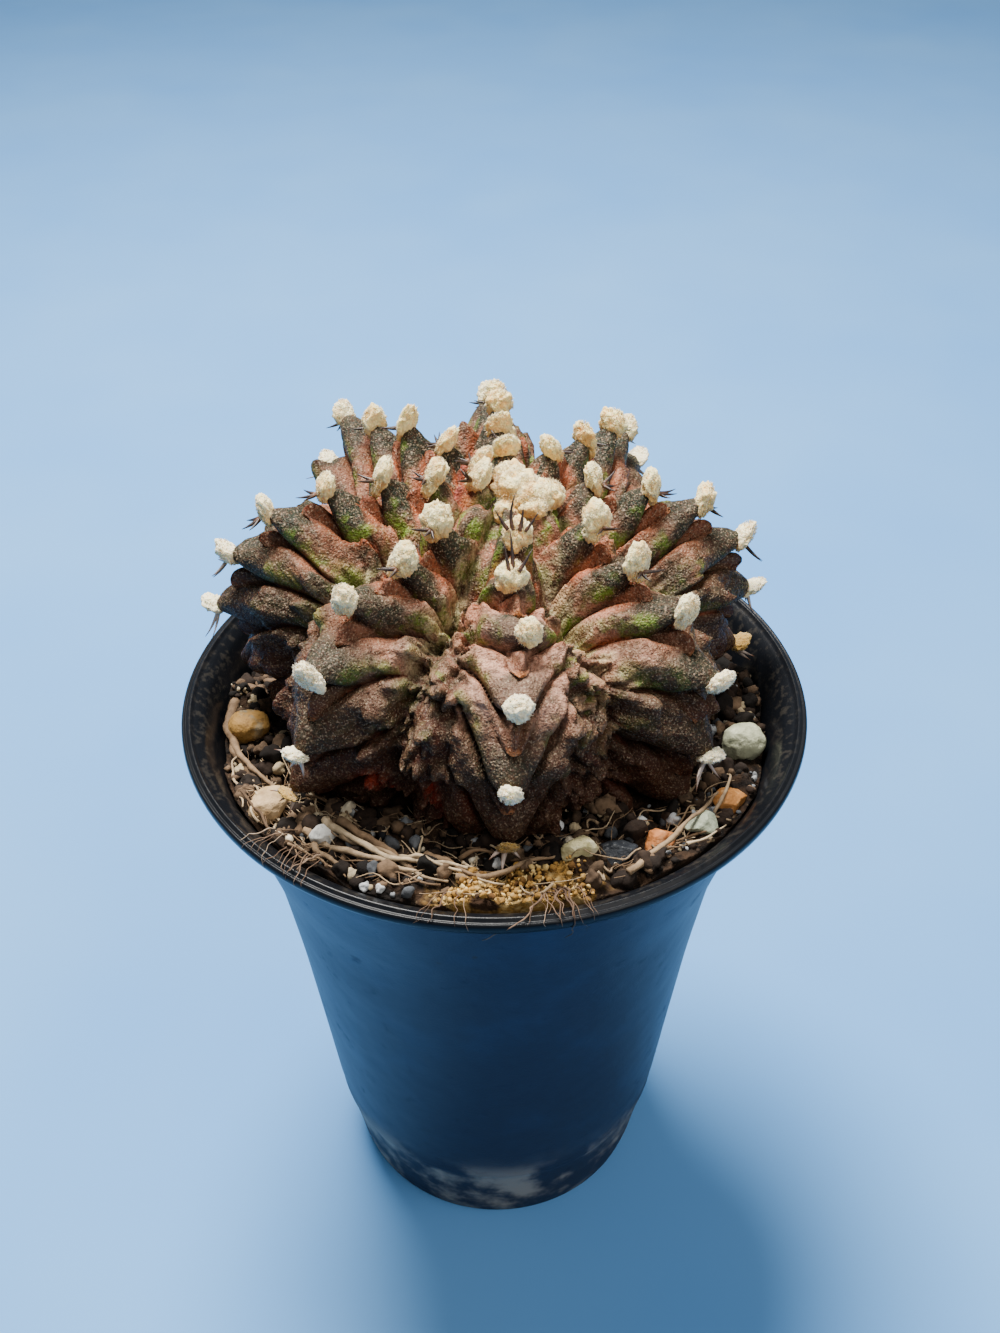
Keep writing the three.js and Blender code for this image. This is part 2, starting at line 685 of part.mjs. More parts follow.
// Dead root strands that lie over the mix, at the front and at the left.
const STRANDS = [
  { azimuths: [312, 322, 336, 350], distances: [33.8, 34.1, 32.2, 31.8] },
  { azimuths: [328, 336, 345, 355], distances: [30.2, 29.8, 30.2, 31.2] },
  { azimuths: [333, 343, 354, 4], distances: [33.6, 33.2, 33.8, 33.2] },
  { azimuths: [262, 272, 284, 296], distances: [33.4, 33.8, 33.4, 33.8] },
  { azimuths: [350, 0, 10, 20], distances: [33.8, 33.2, 33.6, 33.4] },
];

function strandSolid({ azimuths, distances }) {
  const points = azimuths.map((azimuth, i) => {
    const turn = radians(azimuth);
    const x = distances[i] * Math.sin(turn);
    const y = -distances[i] * Math.cos(turn);
    return new THREE.Vector3(x, y, mixHeight(x, y) + 0.15);
  });
  const section = new THREE.Shape();
  for (let i = 0; i < STRAND_SIDES; i++) {
    const turn = (2 * Math.PI * i) / STRAND_SIDES;
    const spot = [ROOT_STRAND_RADIUS * Math.cos(turn), ROOT_STRAND_RADIUS * Math.sin(turn)];
    if (i === 0) section.moveTo(...spot);
    else section.lineTo(...spot);
  }
  section.closePath();
  const strand = new THREE.ExtrudeGeometry(section, {
    steps: STRAND_STEPS,
    extrudePath: new THREE.CatmullRomCurve3(points),
  });
  return toSolid(strand);
}

// The mix with its grit and roots, hollowed for the stem and for each stone.
function mixGeometry() {
  let mix = mixSolid();
  for (const strand of STRANDS) mix = mix.add(strandSolid(strand));
  for (const crumb of gritSolids()) mix = mix.add(crumb);
  mix = mix.subtract(stemSolid(SEAT_GAP));
  STONES.forEach((stone, index) => {
    const seat = stoneGeometry(stone, index + 1, SEAT_GAP + 0.1);
    const centre = stoneCentre(stone);
    seat.translate(centre.x, centre.y, centre.z);
    mix = mix.subtract(toSolid(seat));
  });
  return toGeometry(mix);
}

const potPlastic = new THREE.MeshStandardMaterial({
  color: 0x16202e,
  roughness: 0.4,
  metalness: 0,
});
const mixBrown = new THREE.MeshStandardMaterial({
  color: 0x3a2e24,
  roughness: 0.95,
  metalness: 0,
});
const skinGreen = new THREE.MeshStandardMaterial({
  color: 0x5d5544,
  roughness: 0.55,
  metalness: 0,
});
const woolCream = new THREE.MeshStandardMaterial({
  color: 0xe9d9b4,
  roughness: 0.95,
  metalness: 0,
});

function piece(name, geometry, material) {
  const mesh = new THREE.Mesh(geometry, material);
  mesh.name = name;
  return mesh;
}

const pottedCactus = new THREE.Group();
pottedCactus.name = "potted_cactus";
pottedCactus.add(piece("pot", potGeometry(), potPlastic));
pottedCactus.add(piece("potting_mix", mixGeometry(), mixBrown));
pottedCactus.add(piece("cactus", toGeometry(cactusSolid()), skinGreen));
pottedCactus.add(piece("crown_wool", crownWoolGeometry(), woolCream));
STONES.forEach((stone, index) => {
  const material = new THREE.MeshStandardMaterial({
    color: stone.colour,
    roughness: 0.85,
    metalness: 0,
  });
  const mesh = piece(stone.name, stoneGeometry(stone, index + 1), material);
  mesh.position.copy(stoneCentre(stone));
  pottedCactus.add(mesh);
});

export default pottedCactus;
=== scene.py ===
"""The looks of a potted chin cactus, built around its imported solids.

Sizes in the classes are millimetres in the part's own frame: +Z is up, the origin is the centre of
the pot's foot, and azimuths run in degrees from the front (-Y) towards +X. Meshes are made in metres.
"""

import logging
import math
from dataclasses import dataclass, field
from enum import Enum

import bpy
import numpy as np
from mathutils import Matrix, Vector


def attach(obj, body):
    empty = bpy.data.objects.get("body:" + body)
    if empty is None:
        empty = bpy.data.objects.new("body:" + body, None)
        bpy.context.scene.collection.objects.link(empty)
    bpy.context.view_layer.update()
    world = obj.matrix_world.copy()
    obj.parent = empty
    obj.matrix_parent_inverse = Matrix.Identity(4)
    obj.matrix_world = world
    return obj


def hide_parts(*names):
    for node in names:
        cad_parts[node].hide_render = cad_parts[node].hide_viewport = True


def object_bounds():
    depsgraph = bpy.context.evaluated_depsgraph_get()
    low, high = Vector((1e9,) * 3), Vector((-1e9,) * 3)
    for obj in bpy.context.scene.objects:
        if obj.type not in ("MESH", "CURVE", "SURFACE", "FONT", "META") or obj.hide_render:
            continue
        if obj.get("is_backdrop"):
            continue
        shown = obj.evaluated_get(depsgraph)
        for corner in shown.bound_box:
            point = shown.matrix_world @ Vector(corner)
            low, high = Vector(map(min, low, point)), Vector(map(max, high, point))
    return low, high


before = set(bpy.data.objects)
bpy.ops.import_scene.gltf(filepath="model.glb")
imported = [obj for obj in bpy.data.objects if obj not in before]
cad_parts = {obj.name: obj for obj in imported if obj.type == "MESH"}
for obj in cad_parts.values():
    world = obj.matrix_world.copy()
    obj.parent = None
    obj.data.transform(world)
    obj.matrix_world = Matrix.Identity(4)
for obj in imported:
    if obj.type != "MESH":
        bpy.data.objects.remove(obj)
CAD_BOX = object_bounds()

LOG = logging.getLogger("potted_cactus")
MM = 0.001
Array = np.ndarray
Draws = np.random.Generator
Socket = bpy.types.NodeSocket
Material = bpy.types.Material
Piece = bpy.types.Object
Value = Socket | float | str
Triple = tuple[float, float, float]


@dataclass
class Lcg:
    """A small seeded generator that gives the same draws in every run."""

    state: int

    def __call__(self) -> float:
        """The next draw, from 0 up to 1."""
        self.state = (self.state * 1664525 + 1013904223) % 4294967296
        return self.state / 4294967296


@dataclass(frozen=True)
class LumpyField:
    """A smooth lumpy field in space, made of waves in scattered directions."""

    seed: int
    count: int
    wavelength: float

    def at(self, x: Array, y: Array, z: Array) -> Array:
        """The field's value, mostly from -1 to 1.

        Args:
            x: places along X.
            y: places along Y.
            z: places along Z.

        Returns:
            One value for each place.
        """
        draw = Lcg(self.seed)
        total = 0.0
        for _ in range(self.count):
            turn = draw() * 2 * math.pi
            rise = 2 * draw() - 1
            flat = math.sqrt(1 - rise * rise)
            pace = 2 * math.pi / (self.wavelength * (0.7 + 0.6 * draw()))
            a, b, c = flat * math.cos(turn) * pace, flat * math.sin(turn) * pace, rise * pace
            total = total + np.sin(a * x + b * y + c * z + draw() * 2 * math.pi)
        return total / math.sqrt(self.count / 2)


BROAD_LUMPS = LumpyField(11, 6, 13.0)
MIDDLE_LUMPS = LumpyField(23, 8, 5.5)
ARM_WANDER = LumpyField(51, 5, 9.0)
SOIL_LUMPS = LumpyField(71, 8, 7.0)


def smooth(value: Array | float, low: Array | float, high: Array | float) -> Array | float:
    """A smooth step from 0 at low to 1 at high."""
    share = np.clip((value - low) / (high - low), 0.0, 1.0)
    return share * share * (3 - 2 * share)


def lattice_draw(cells: Array, seed: int) -> Array:
    """A repeatable draw from 0 to 1 for each cell of a lattice.

    Args:
        cells: whole numbers, three in each row.
        seed: which set of draws.

    Returns:
        One draw for each row.
    """
    whole = cells.astype(np.int64)
    mixed = whole[..., 0] * 374761393 + whole[..., 1] * 668265263 + whole[..., 2] * 1440662683
    mixed = (mixed + seed * 974634777) & 0xFFFFFFFF
    for shift, stir in ((15, 2246822519), (13, 3266489917)):
        mixed = ((mixed ^ (mixed >> shift)) * stir) & 0xFFFFFFFF
    return ((mixed ^ (mixed >> 16)) & 0xFFFFFF) / 0x1000000


def value_noise(points: Array, cell: float, seed: int) -> Array:
    """Smooth noise from -1 to 1.

    Args:
        points: places, three numbers in each row.
        cell: the size of its lumps.
        seed: which noise.

    Returns:
        One value for each place.
    """
    scaled = points / cell
    base = np.floor(scaled)
    part = scaled - base
    part = part * part * (3 - 2 * part)
    total = 0.0
    for corner in range(8):
        step = np.array([corner & 1, (corner >> 1) & 1, (corner >> 2) & 1])
        weight = np.prod(np.where(step, part, 1 - part), axis=-1)
        total = total + weight * lattice_draw(base + step, seed)
    return 2 * total - 1


def layered_noise(points: Array, cell: float, layers: int, seed: int) -> Array:
    """Noise at places, whose lumps of a size carry layers of finer lumps."""
    return sum(value_noise(points, cell / 2**layer, seed + layer) / 2**layer for layer in range(layers))


def cobbles(points: Array, cell: float, seed: int) -> tuple[Array, Array]:
    """Cells round scattered centres, as on a cobbled or wrinkled surface.

    Args:
        points: places, three numbers in each row.
        cell: the usual distance between centres.
        seed: which set of centres.

    Returns:
        How far each place is from its cell's edge, in cell sizes, and a draw for its cell.
    """
    scaled = points / cell
    base = np.floor(scaled)
    nearest = np.full(points.shape[:-1], 9.0)
    second = nearest.copy()
    draw = np.zeros(points.shape[:-1])
    for step in np.ndindex(3, 3, 3):
        lattice = base + (np.array(step) - 1)
        jitter = np.stack([lattice_draw(lattice, seed + axis) for axis in range(3)], axis=-1)
        distance = np.linalg.norm(lattice + jitter - scaled, axis=-1)
        closer = distance < nearest
        second = np.where(closer, nearest, np.minimum(second, distance))
        draw = np.where(closer, lattice_draw(lattice, seed + 7), draw)
        nearest = np.minimum(nearest, distance)
    return second - nearest, draw


def shaken(path: Array, cell: float, seed: int, shift: float, draw: Draws) -> Array:
    """A noise for each axis along a path.

    Args:
        path: the path's points.
        cell: the size of the noise's lumps.
        seed: which noise.
        shift: how far apart the axes take it.
        draw: the random draws.

    Returns:
        Three values for each point.
    """
    rows = [value_noise(path + shift * axis + draw.integers(1, 99), cell, seed) for axis in range(3)]
    return np.stack(rows, axis=-1)


def relax(path: Array, rounds: int) -> None:
    """Evens out a path in place, with its ends kept."""
    for _ in range(rounds):
        path[1:-1] = (path[:-2] + path[1:-1] * 2 + path[2:]) / 4


def colour(code: str) -> tuple[float, ...]:
    """Turns six hexadecimal digits of a screen colour into the linear colour that shaders take."""
    parts = [int(code[i : i + 2], 16) / 255 for i in (0, 2, 4)]
    return (*(p / 12.92 if p <= 0.04045 else ((p + 0.055) / 1.055) ** 2.4 for p in parts), 1.0)


def unit(vectors: Array) -> Array:
    """The same directions with a length of 1."""
    return vectors / np.maximum(np.linalg.norm(vectors, axis=-1, keepdims=True), 1e-9)


def ground_spot(azimuth: float, distance: float) -> Array:
    """X and Y at an azimuth and a distance from the pot's axis."""
    turn = math.radians(azimuth)
    return np.array([distance * math.sin(turn), -distance * math.cos(turn)])


class MeshStack:
    """Vertices, faces and point attributes of one piece, gathered part by part."""

    def __init__(self) -> None:
        """Starts with nothing."""
        self.vertices: list[Array] = []
        self.faces: list[list[int]] = []
        self.values: dict[str, list[Array]] = {}
        self.count = 0

    def add(self, vertices: Array, faces: Array | list[list[int]], **values: Array | float) -> None:
        """Adds one part.

        Args:
            vertices: places in millimetres.
            faces: vertex numbers, counted within the part.
            values: point attributes, one number or one for each vertex; every part gives the same.
        """
        for name, value in values.items():
            full = np.broadcast_to(np.asarray(value, float), (len(vertices),))
            self.values.setdefault(name, []).append(full)
        if isinstance(faces, np.ndarray):
            self.faces.extend((faces + self.count).tolist())
        else:
            self.faces.extend([i + self.count for i in face] for face in faces)
        self.vertices.append(np.asarray(vertices, float))
        self.count += len(vertices)

    def build(self, name: str, material: Material | None = None) -> Piece:
        """Makes the smooth-shaded Blender object.

        Args:
            name: the piece's name.
            material: its finish, if it has one yet.

        Returns:
            The object, linked to the scene.
        """
        mesh = bpy.data.meshes.new(name)
        mesh.from_pydata((np.concatenate(self.vertices) * MM).tolist(), [], self.faces)
        mesh.polygons.foreach_set("use_smooth", np.ones(len(mesh.polygons), bool))
        for label, values in self.values.items():
            layer = mesh.attributes.new(label, "FLOAT", "POINT")
            layer.data.foreach_set("value", np.concatenate(values).astype(np.float32))
        mesh.update()
        if material:
            mesh.materials.append(material)
        piece = bpy.data.objects.new(name, mesh)
        bpy.context.scene.collection.objects.link(piece)
        return piece


def capped_rings(rings: Array, top: Array, foot: Array) -> tuple[Array, list[list[int]]]:
    """A closed body through rings, with one point at each end.

    Args:
        rings: places, by ring and by column.
        top: the point above the first ring.
        foot: the point below the last ring.

    Returns:
        The vertices and the faces.
    """
    rows, columns = rings.shape[:2]
    row, column = np.meshgrid(np.arange(rows - 1), np.arange(columns), indexing="ij")
    after = (column + 1) % columns
    corners = [row * columns + column, (row + 1) * columns + column]
    corners += [(row + 1) * columns + after, row * columns + after]
    faces = np.stack([c.ravel() for c in corners], axis=-1).tolist()
    first, last = rows * columns, rows * columns + 1
    for i in range(columns):
        beside = (i + 1) % columns
        faces.append([first, i, beside])
        faces.append([last, (rows - 1) * columns + beside, (rows - 1) * columns + i])
    return np.concatenate([rings.reshape(-1, 3), [top], [foot]]), faces


def tube(path: Array, radii: Array, sides: int) -> tuple[Array, list[list[int]]]:
    """A closed tapering tube along a path.

    Args:
        path: the points of its centre line.
        radii: its radius at each point.
        sides: how many sides it has.

    Returns:
        The vertices and the faces.
    """
    ahead = unit(np.gradient(path, axis=0))
    across = unit(np.cross(ahead, np.array([0.31, 0.17, 0.94])))
    upward = np.cross(across, ahead)
    turns = 2 * math.pi * np.arange(sides) / sides
    offsets = np.cos(turns)[None, :, None] * across[:, None] + np.sin(turns)[None, :, None] * upward[:, None]
    rings = path[:, None] + offsets * radii[:, None, None]
    return capped_rings(rings[:, ::-1], path[0], path[-1])


def ball(level: int) -> tuple[Array, Array]:
    """A sphere of even triangles with a radius of 1.

    Args:
        level: how finely it is divided, from 0 for 20 triangles.

    Returns:
        The vertices and the triangles.
    """
    golden = (1 + 5**0.5) / 2
    raw = [(-1, golden, 0), (1, golden, 0), (-1, -golden, 0), (1, -golden, 0)]
    raw += [(0, -1, golden), (0, 1, golden), (0, -1, -golden), (0, 1, -golden)]
    raw += [(golden, 0, -1), (golden, 0, 1), (-golden, 0, -1), (-golden, 0, 1)]
    points = [unit(np.array(p, float)) for p in raw]
    faces = [(0, 11, 5), (0, 5, 1), (0, 1, 7), (0, 7, 10), (0, 10, 11), (1, 5, 9), (5, 11, 4)]
    faces += [(11, 10, 2), (10, 7, 6), (7, 1, 8), (3, 9, 4), (3, 4, 2), (3, 2, 6), (3, 6, 8)]
    faces += [(3, 8, 9), (4, 9, 5), (2, 4, 11), (6, 2, 10), (8, 6, 7), (9, 8, 1)]
    for _ in range(level):
        middles: dict[tuple[int, int], int] = {}
        finer = []
        for a, b, c in faces:
            halves = []
            for pair in ((a, b), (b, c), (c, a)):
                key = (min(pair), max(pair))
                if key not in middles:
                    middles[key] = len(points)
                    points.append(unit(points[pair[0]] + points[pair[1]]))
                halves.append(middles[key])
            ab, bc, ca = halves
            finer += [(a, ab, ca), (b, bc, ab), (c, ca, bc), (ab, bc, ca)]
        faces = finer
    return np.array(points), np.array(faces)


BALLS = {level: ball(level) for level in range(5)}


class Sum(Enum):
    """What a maths node does with its two values."""

    PLUS = "ADD"
    LESS = "SUBTRACT"
    TIMES = "MULTIPLY"
    MOST = "MAXIMUM"


class Nodes:
    """Adds nodes to one tree, of a material or of a shared effect."""

    def __init__(self, tree: bpy.types.NodeTree) -> None:
        """Starts with the tree."""
        self.tree = tree

    def node(self, kind: str, inputs: dict[str | int, Value], **settings: object) -> bpy.types.Node:
        """Adds a node.

        Args:
            kind: its type, without the leading ShaderNode.
            inputs: what its sockets take: another socket, a number or a colour code.
            settings: properties to set on it.

        Returns:
            The node.
        """
        made = self.tree.nodes.new("ShaderNode" + kind)
        for name, value in settings.items():
            setattr(made, name, value)
        for name, value in inputs.items():
            if isinstance(value, Socket):
                self.tree.links.new(value, made.inputs[name])
            else:
                made.inputs[name].default_value = colour(value) if isinstance(value, str) else value
        return made

    def place(self) -> Socket:
        """The place on the object, in metres."""
        return self.node("TexCoord", {}).outputs["Object"]

    def remap(self, source: Value, low: Value, high: Value) -> Socket:
        """Stretches a value smoothly, so that low gives 0 and high gives 1."""
        ends = {"Value": source, "From Min": low, "From Max": high}
        return self.node("MapRange", ends, interpolation_type="SMOOTHSTEP").outputs["Result"]

    def maths(self, kind: Sum, total: Value, *others: Value) -> Socket:
        """Joins more values to a first one in turn.

        Args:
            kind: how each is joined.
            total: the first value.
            others: the values that follow.

        Returns:
            The result.
        """
        for other in others:
            total = self.node("Math", {0: total, 1: other}, operation=kind.value).outputs[0]
        return total


class Effects:
    """Shader node groups that more than one material uses, each built once."""

    _made: dict[str, bpy.types.NodeTree] = {}

    @classmethod
    def _start(
        cls, name: str, inputs: dict[str, float], output: str
    ) -> tuple[Nodes, bpy.types.bpy_prop_collection, Socket]:
        """Starts a node group with its sockets.

        Args:
            name: the group's name.
            inputs: its number inputs with their plain values.
            output: its number output.

        Returns:
            Its nodes, its inputs by name and the socket of its output.
        """
        tree = cls._made[name] = bpy.data.node_groups.new(name, "ShaderNodeTree")
        for label, plain in inputs.items():
            socket = tree.interface.new_socket(label, in_out="INPUT", socket_type="NodeSocketFloat")
            socket.default_value = plain
        tree.interface.new_socket(output, in_out="OUTPUT", socket_type="NodeSocketFloat")
        start, end = tree.nodes.new("NodeGroupInput"), tree.nodes.new("NodeGroupOutput")
        return Nodes(tree), start.outputs, end.inputs[output]

    @classmethod
    def grain(cls) -> bpy.types.NodeTree:
        """Fine grain.

        Returns:
            The group, with inputs Scale and Seed and an output Height.
        """
        if "Grain" not in cls._made:
            n, start, end = cls._start("Grain", {"Scale": 3000.0, "Seed": 0.0}, "Height")
            where = {"Vector": n.place(), "Scale": start["Scale"], "W": start["Seed"]}
            cells = n.node("TexVoronoi", where, voronoi_dimensions="4D", feature="SMOOTH_F1")
            streaks = n.node("TexNoise", where | {"Detail": 2.0}, noise_dimensions="4D")
            tops = n.maths(Sum.LESS, 1.0, cells.outputs["Distance"])
            n.tree.links.new(n.maths(Sum.TIMES, tops, streaks.outputs["Fac"]), end)
        return cls._made["Grain"]

    @classmethod
    def patches(cls) -> bpy.types.NodeTree:
        """Soft-edged patches, as of dust, lime or a change of colour.

        Returns:
            The group, with inputs Scale, Seed, Cover and Softness and an output Mask.
        """
        if "Patches" not in cls._made:
            inputs = {"Scale": 200.0, "Seed": 0.0, "Cover": 0.5, "Softness": 0.1}
            n, start, end = cls._start("Patches", inputs, "Mask")
            look = {"Vector": n.place(), "Scale": start["Scale"], "W": start["Seed"]}
            look |= {"Detail": 4.0, "Roughness": 0.6}
            noise = n.node("TexNoise", look, noise_dimensions="4D").outputs["Fac"]
            edge = n.maths(Sum.LESS, 1.0, start["Cover"])
            mask = n.remap(noise, edge, n.maths(Sum.PLUS, edge, start["Softness"]))
            n.tree.links.new(mask, end)
        return cls._made["Patches"]


class Shader(Nodes):
    """The nodes of one material, round its Principled shader."""

    def __init__(self, name: str, plain: dict[str, float | Triple]) -> None:
        """Starts a material.

        Args:
            name: its name.
            plain: what is the same all over the surface, by the shader's sockets.
        """
        self.material = bpy.data.materials.new(name)
        self.material.use_nodes = True
        super().__init__(self.material.node_tree)
        self.surface = self.tree.nodes["Principled BSDF"]
        for label, value in plain.items():
            self.surface.inputs[label].default_value = value

    def value(self, label: str) -> Socket:
        """A point attribute of the mesh, as a number."""
        return self.node("Attribute", {}, attribute_name=label).outputs["Fac"]

    def noise(self, size_mm: float, detail: float, seed: float) -> Socket:
        """Noise from 0 to 1, with lumps of a size, finer lumps on them and a seed for the pattern."""
        look = {"Vector": self.place(), "Scale": 1 / (size_mm * MM), "Detail": detail, "W": seed}
        return self.node("TexNoise", look, noise_dimensions="4D").outputs["Fac"]

    def patch(self, scale: float, seed: float, cover: float, softness: float) -> Socket:
        """The mask of the Patches effect with these values."""
        values = {"Scale": scale, "Seed": seed, "Cover": cover, "Softness": softness}
        return self.node("Group", values, node_tree=Effects.patches()).outputs["Mask"]

    def grain(self, scale: float, seed: float) -> Socket:
        """The height of the Grain effect with these values."""
        values = {"Scale": scale, "Seed": seed}
        return self.node("Group", values, node_tree=Effects.grain()).outputs["Height"]

    def times(self, *parts: Value) -> Socket:
        """The product of the parts."""
        return self.maths(Sum.TIMES, *parts)

    def plus(self, *parts: Value) -> Socket:
        """The sum of the parts."""
        return self.maths(Sum.PLUS, *parts)

    def coat(self, tone: Value, *coats: tuple[Value, Value]) -> Socket:
        """Lays colours over a tone in turn.

        Args:
            tone: the ground colour.
            coats: the colours, each with the mask of where it shows.

        Returns:
            The blended colour.
        """
        for above, mask in coats:
            tone = self.node("Mix", {6: tone, 7: above, 0: mask}, data_type="RGBA").outputs[2]
        return tone

    def bump(self, height: Socket, depth_mm: float, below: Socket | None = None) -> Socket:
        """The normal over a height that is so deep, on top of the normal of a broader bump."""
        inputs = {"Distance": depth_mm * MM, "Height": height} | ({"Normal": below} if below else {})
        return self.node("Bump", inputs).outputs["Normal"]

    def finish(
        self, base: Socket, normal: Socket | None = None, roughness: Socket | None = None
    ) -> Material:
        """Joins what changes over the surface to the shader.

        Args:
            base: the colour.
            normal: the bent normal, unless the surface is flat.
            roughness: the roughness, if it changes over the surface.

        Returns:
            The finished material.
        """
        for label, source in (("Base Color", base), ("Normal", normal), ("Roughness", roughness)):
            if source:
                self.tree.links.new(source, self.surface.inputs[label])
        return self.material


@dataclass(frozen=True)
class SkinFinish:
    """The cactus's skin: speckled olive velvet with pink patches, green undersides and red grooves, painted
    shade in its grooves, creases and pits, and pale specks and tan knob tops that are partly painted
    highlights.
    """

    velvet: str = "2b2c1f"
    brown: str = "3e2e22"
    tan: str = "6f5b45"
    nose: str = "262b21"
    pink: str = "b87a5f"
    warm: str = "d8a58c"
    green: str = "5f7426"
    groove: str = "a8522c"
    # shade and deep: the dark red and near-black of the painted shade in the grooves, creases and pits
    shade: str = "381910"
    deep: str = "130805"
    young_chin: str = "bd5058"
    old_chin: str = "5c3727"
    tip: str = "b8764a"
    base: str = "3a2016"
    # the pale specks, partly painted glints of the velvet
    speck_and_glint: str = "cfb698"
    saddle: str = "bcac82"
    # tan of the knob tops, partly their own colour, partly a painted highlight
    knob_tan_and_highlight: str = "927054"
    ember: str = "932c14"

    def material(self) -> Material:
        """Makes the material.

        Returns:
            The skin, with its velvet over soft wrinkles.
        """
        plain = {"Specular IOR Level": 0.12, "Subsurface Weight": 0.04, "Subsurface Scale": 0.0012}
        s = Shader("cactus_skin", plain)
        wrinkles = s.bump(s.noise(0.9, 3.0, 9.0), 0.25)
        tone = self._speckle(s, self._hollows(s, self._ground(s)))
        rough = s.plus(s.times(s.noise(0.6, 2.0, 4.0), 0.25), 0.36)
        return s.finish(tone, s.bump(s.grain(3900.0, 1.0), 0.36, wrinkles), rough)

    def _ground(self, s: Shader) -> Socket:
        """The mottled olive, brown, pink and green of the arms, with tan knob tops that are partly a painted
        highlight.

        Args:
            s: the material's nodes.

        Returns:
            The colour.
        """
        age, share = s.value("age"), s.value("share")
        knobs = s.times(s.remap(s.value("knob_tan_and_highlight"), 0.45, 0.95), s.remap(s.noise(1.5, 3.0, 6.0), 0.36, 0.6))
        crest = s.plus(s.times(s.remap(share, 0.1, 0.6), 0.5), 0.35)
        far = s.times(s.remap(share, 0.7, 0.92), s.remap(s.noise(1.8, 3.0, 17.0), 0.4, 0.6))
        ends = s.times(s.remap(share, 0.74, 0.95), 0.5)
        under = s.maths(Sum.MOST, s.remap(s.value("under"), 0.4, 0.85), ends)
        return s.coat(
            self.velvet,
            (self.brown, s.patch(210.0, 4.0, 0.54, 0.22)),
            (self.tan, s.times(s.patch(300.0, 18.0, 0.52, 0.2), 0.75, s.remap(age, 0.66, 0.12))),
            # Knob tops in tan: partly their own colour, partly a painted highlight
            (self.knob_tan_and_highlight, s.times(knobs, s.remap(age, 1.1, 0.5), 0.75)),
            (self.pink, s.times(s.patch(190.0, 3.0, 0.53, 0.16), crest, s.remap(age, 0.75, 0.2))),
            (self.warm, s.times(s.value("front"), s.remap(s.noise(2.2, 3.0, 12.0), 0.34, 0.58), 0.9)),
            (self.base, s.times(s.remap(age, 0.5, 0.86), 0.85)),
            (self.nose, s.times(s.remap(s.value("nose"), 0.04, 0.5), 0.85, s.remap(age, 1.0, 0.4))),
            (self.saddle, s.times(far, s.remap(age, 0.62, 0.4), 0.9)),
            (self.green, s.times(under, s.patch(300.0, 21.0, 0.55, 0.14), s.remap(age, 0.8, 0.3))),
        )

    def _hollows(self, s: Shader, tone: Socket) -> Socket:
        """Lays the salmon glow, the chins, and the painted shade of the pits, the creases and the red
        grooves over the ground.

        Args:
            s: the material's nodes.
            tone: the ground's colour.

        Returns:
            The colour.
        """
        age, groove = s.value("age"), s.value("groove")
        young, grown = s.remap(age, 0.72, 0.1), s.remap(age, 0.02, 0.2)
        glow = s.coat(self.groove, (self.pink, s.plus(s.times(s.value("front"), 0.7), 0.25)))
        spots = s.times(s.patch(120.0, 35.0, 0.5, 0.14), s.remap(age, 1.0, 0.1))
        return s.coat(
            tone,
            (glow, s.times(s.value("glow"), young, 0.85)),
            (self.groove, s.times(s.remap(s.value("over"), 0.66, 0.94), young, 0.7)),
            (s.coat(self.young_chin, (self.old_chin, grown)), s.times(s.value("chin"), 0.75)),
            (self.tip, s.times(s.remap(s.value("tip"), 0.35, 0.9), grown)),
            # Painted shade: the grooves between the arms darken to dark red with red spots, and to
            # near-black where deepest
            (s.coat(self.shade, (self.groove, spots)), s.remap(groove, 0.4, 0.8)),
            (self.deep, s.times(s.remap(groove, 0.7, 0.98), 0.9)),
            # Painted shade in the creases between the knobs
            (self.shade, s.times(s.value("crease_shade"), 0.8)),
            (self.ember, s.times(s.value("ember"), 0.85)),
            # Painted shade: near-black in the pit under each nose
            (self.deep, s.times(s.value("pit"), s.remap(age, 0.02, 0.25), 0.85)),
        )

    def _speckle(self, s: Shader, tone: Socket) -> Socket:
        """Sprinkles dark and pale specks over the colour; the pale ones are partly painted glints of the
        velvet.

        Args:
            s: the material's nodes.
            tone: the colour below.

        Returns:
            The speckled colour.
        """
        smoothness = s.remap(s.value("groove"), 0.75, 0.2)
        fade = s.plus(s.times(s.value("age"), -0.26), 0.43)
        return s.coat(
            tone,
            (self.shade, s.times(s.remap(s.noise(0.36, 2.0, 15.0), 0.52, 0.38), 0.5)),
            (self.tan, s.times(s.remap(s.noise(0.75, 3.0, 31.0), 0.54, 0.68), 0.3, smoothness)),
            # Pale specks, partly painted glints of the velvet
            (self.speck_and_glint, s.times(s.remap(s.noise(0.22, 2.0, 27.0), 0.53, 0.69), smoothness, fade)),
        )


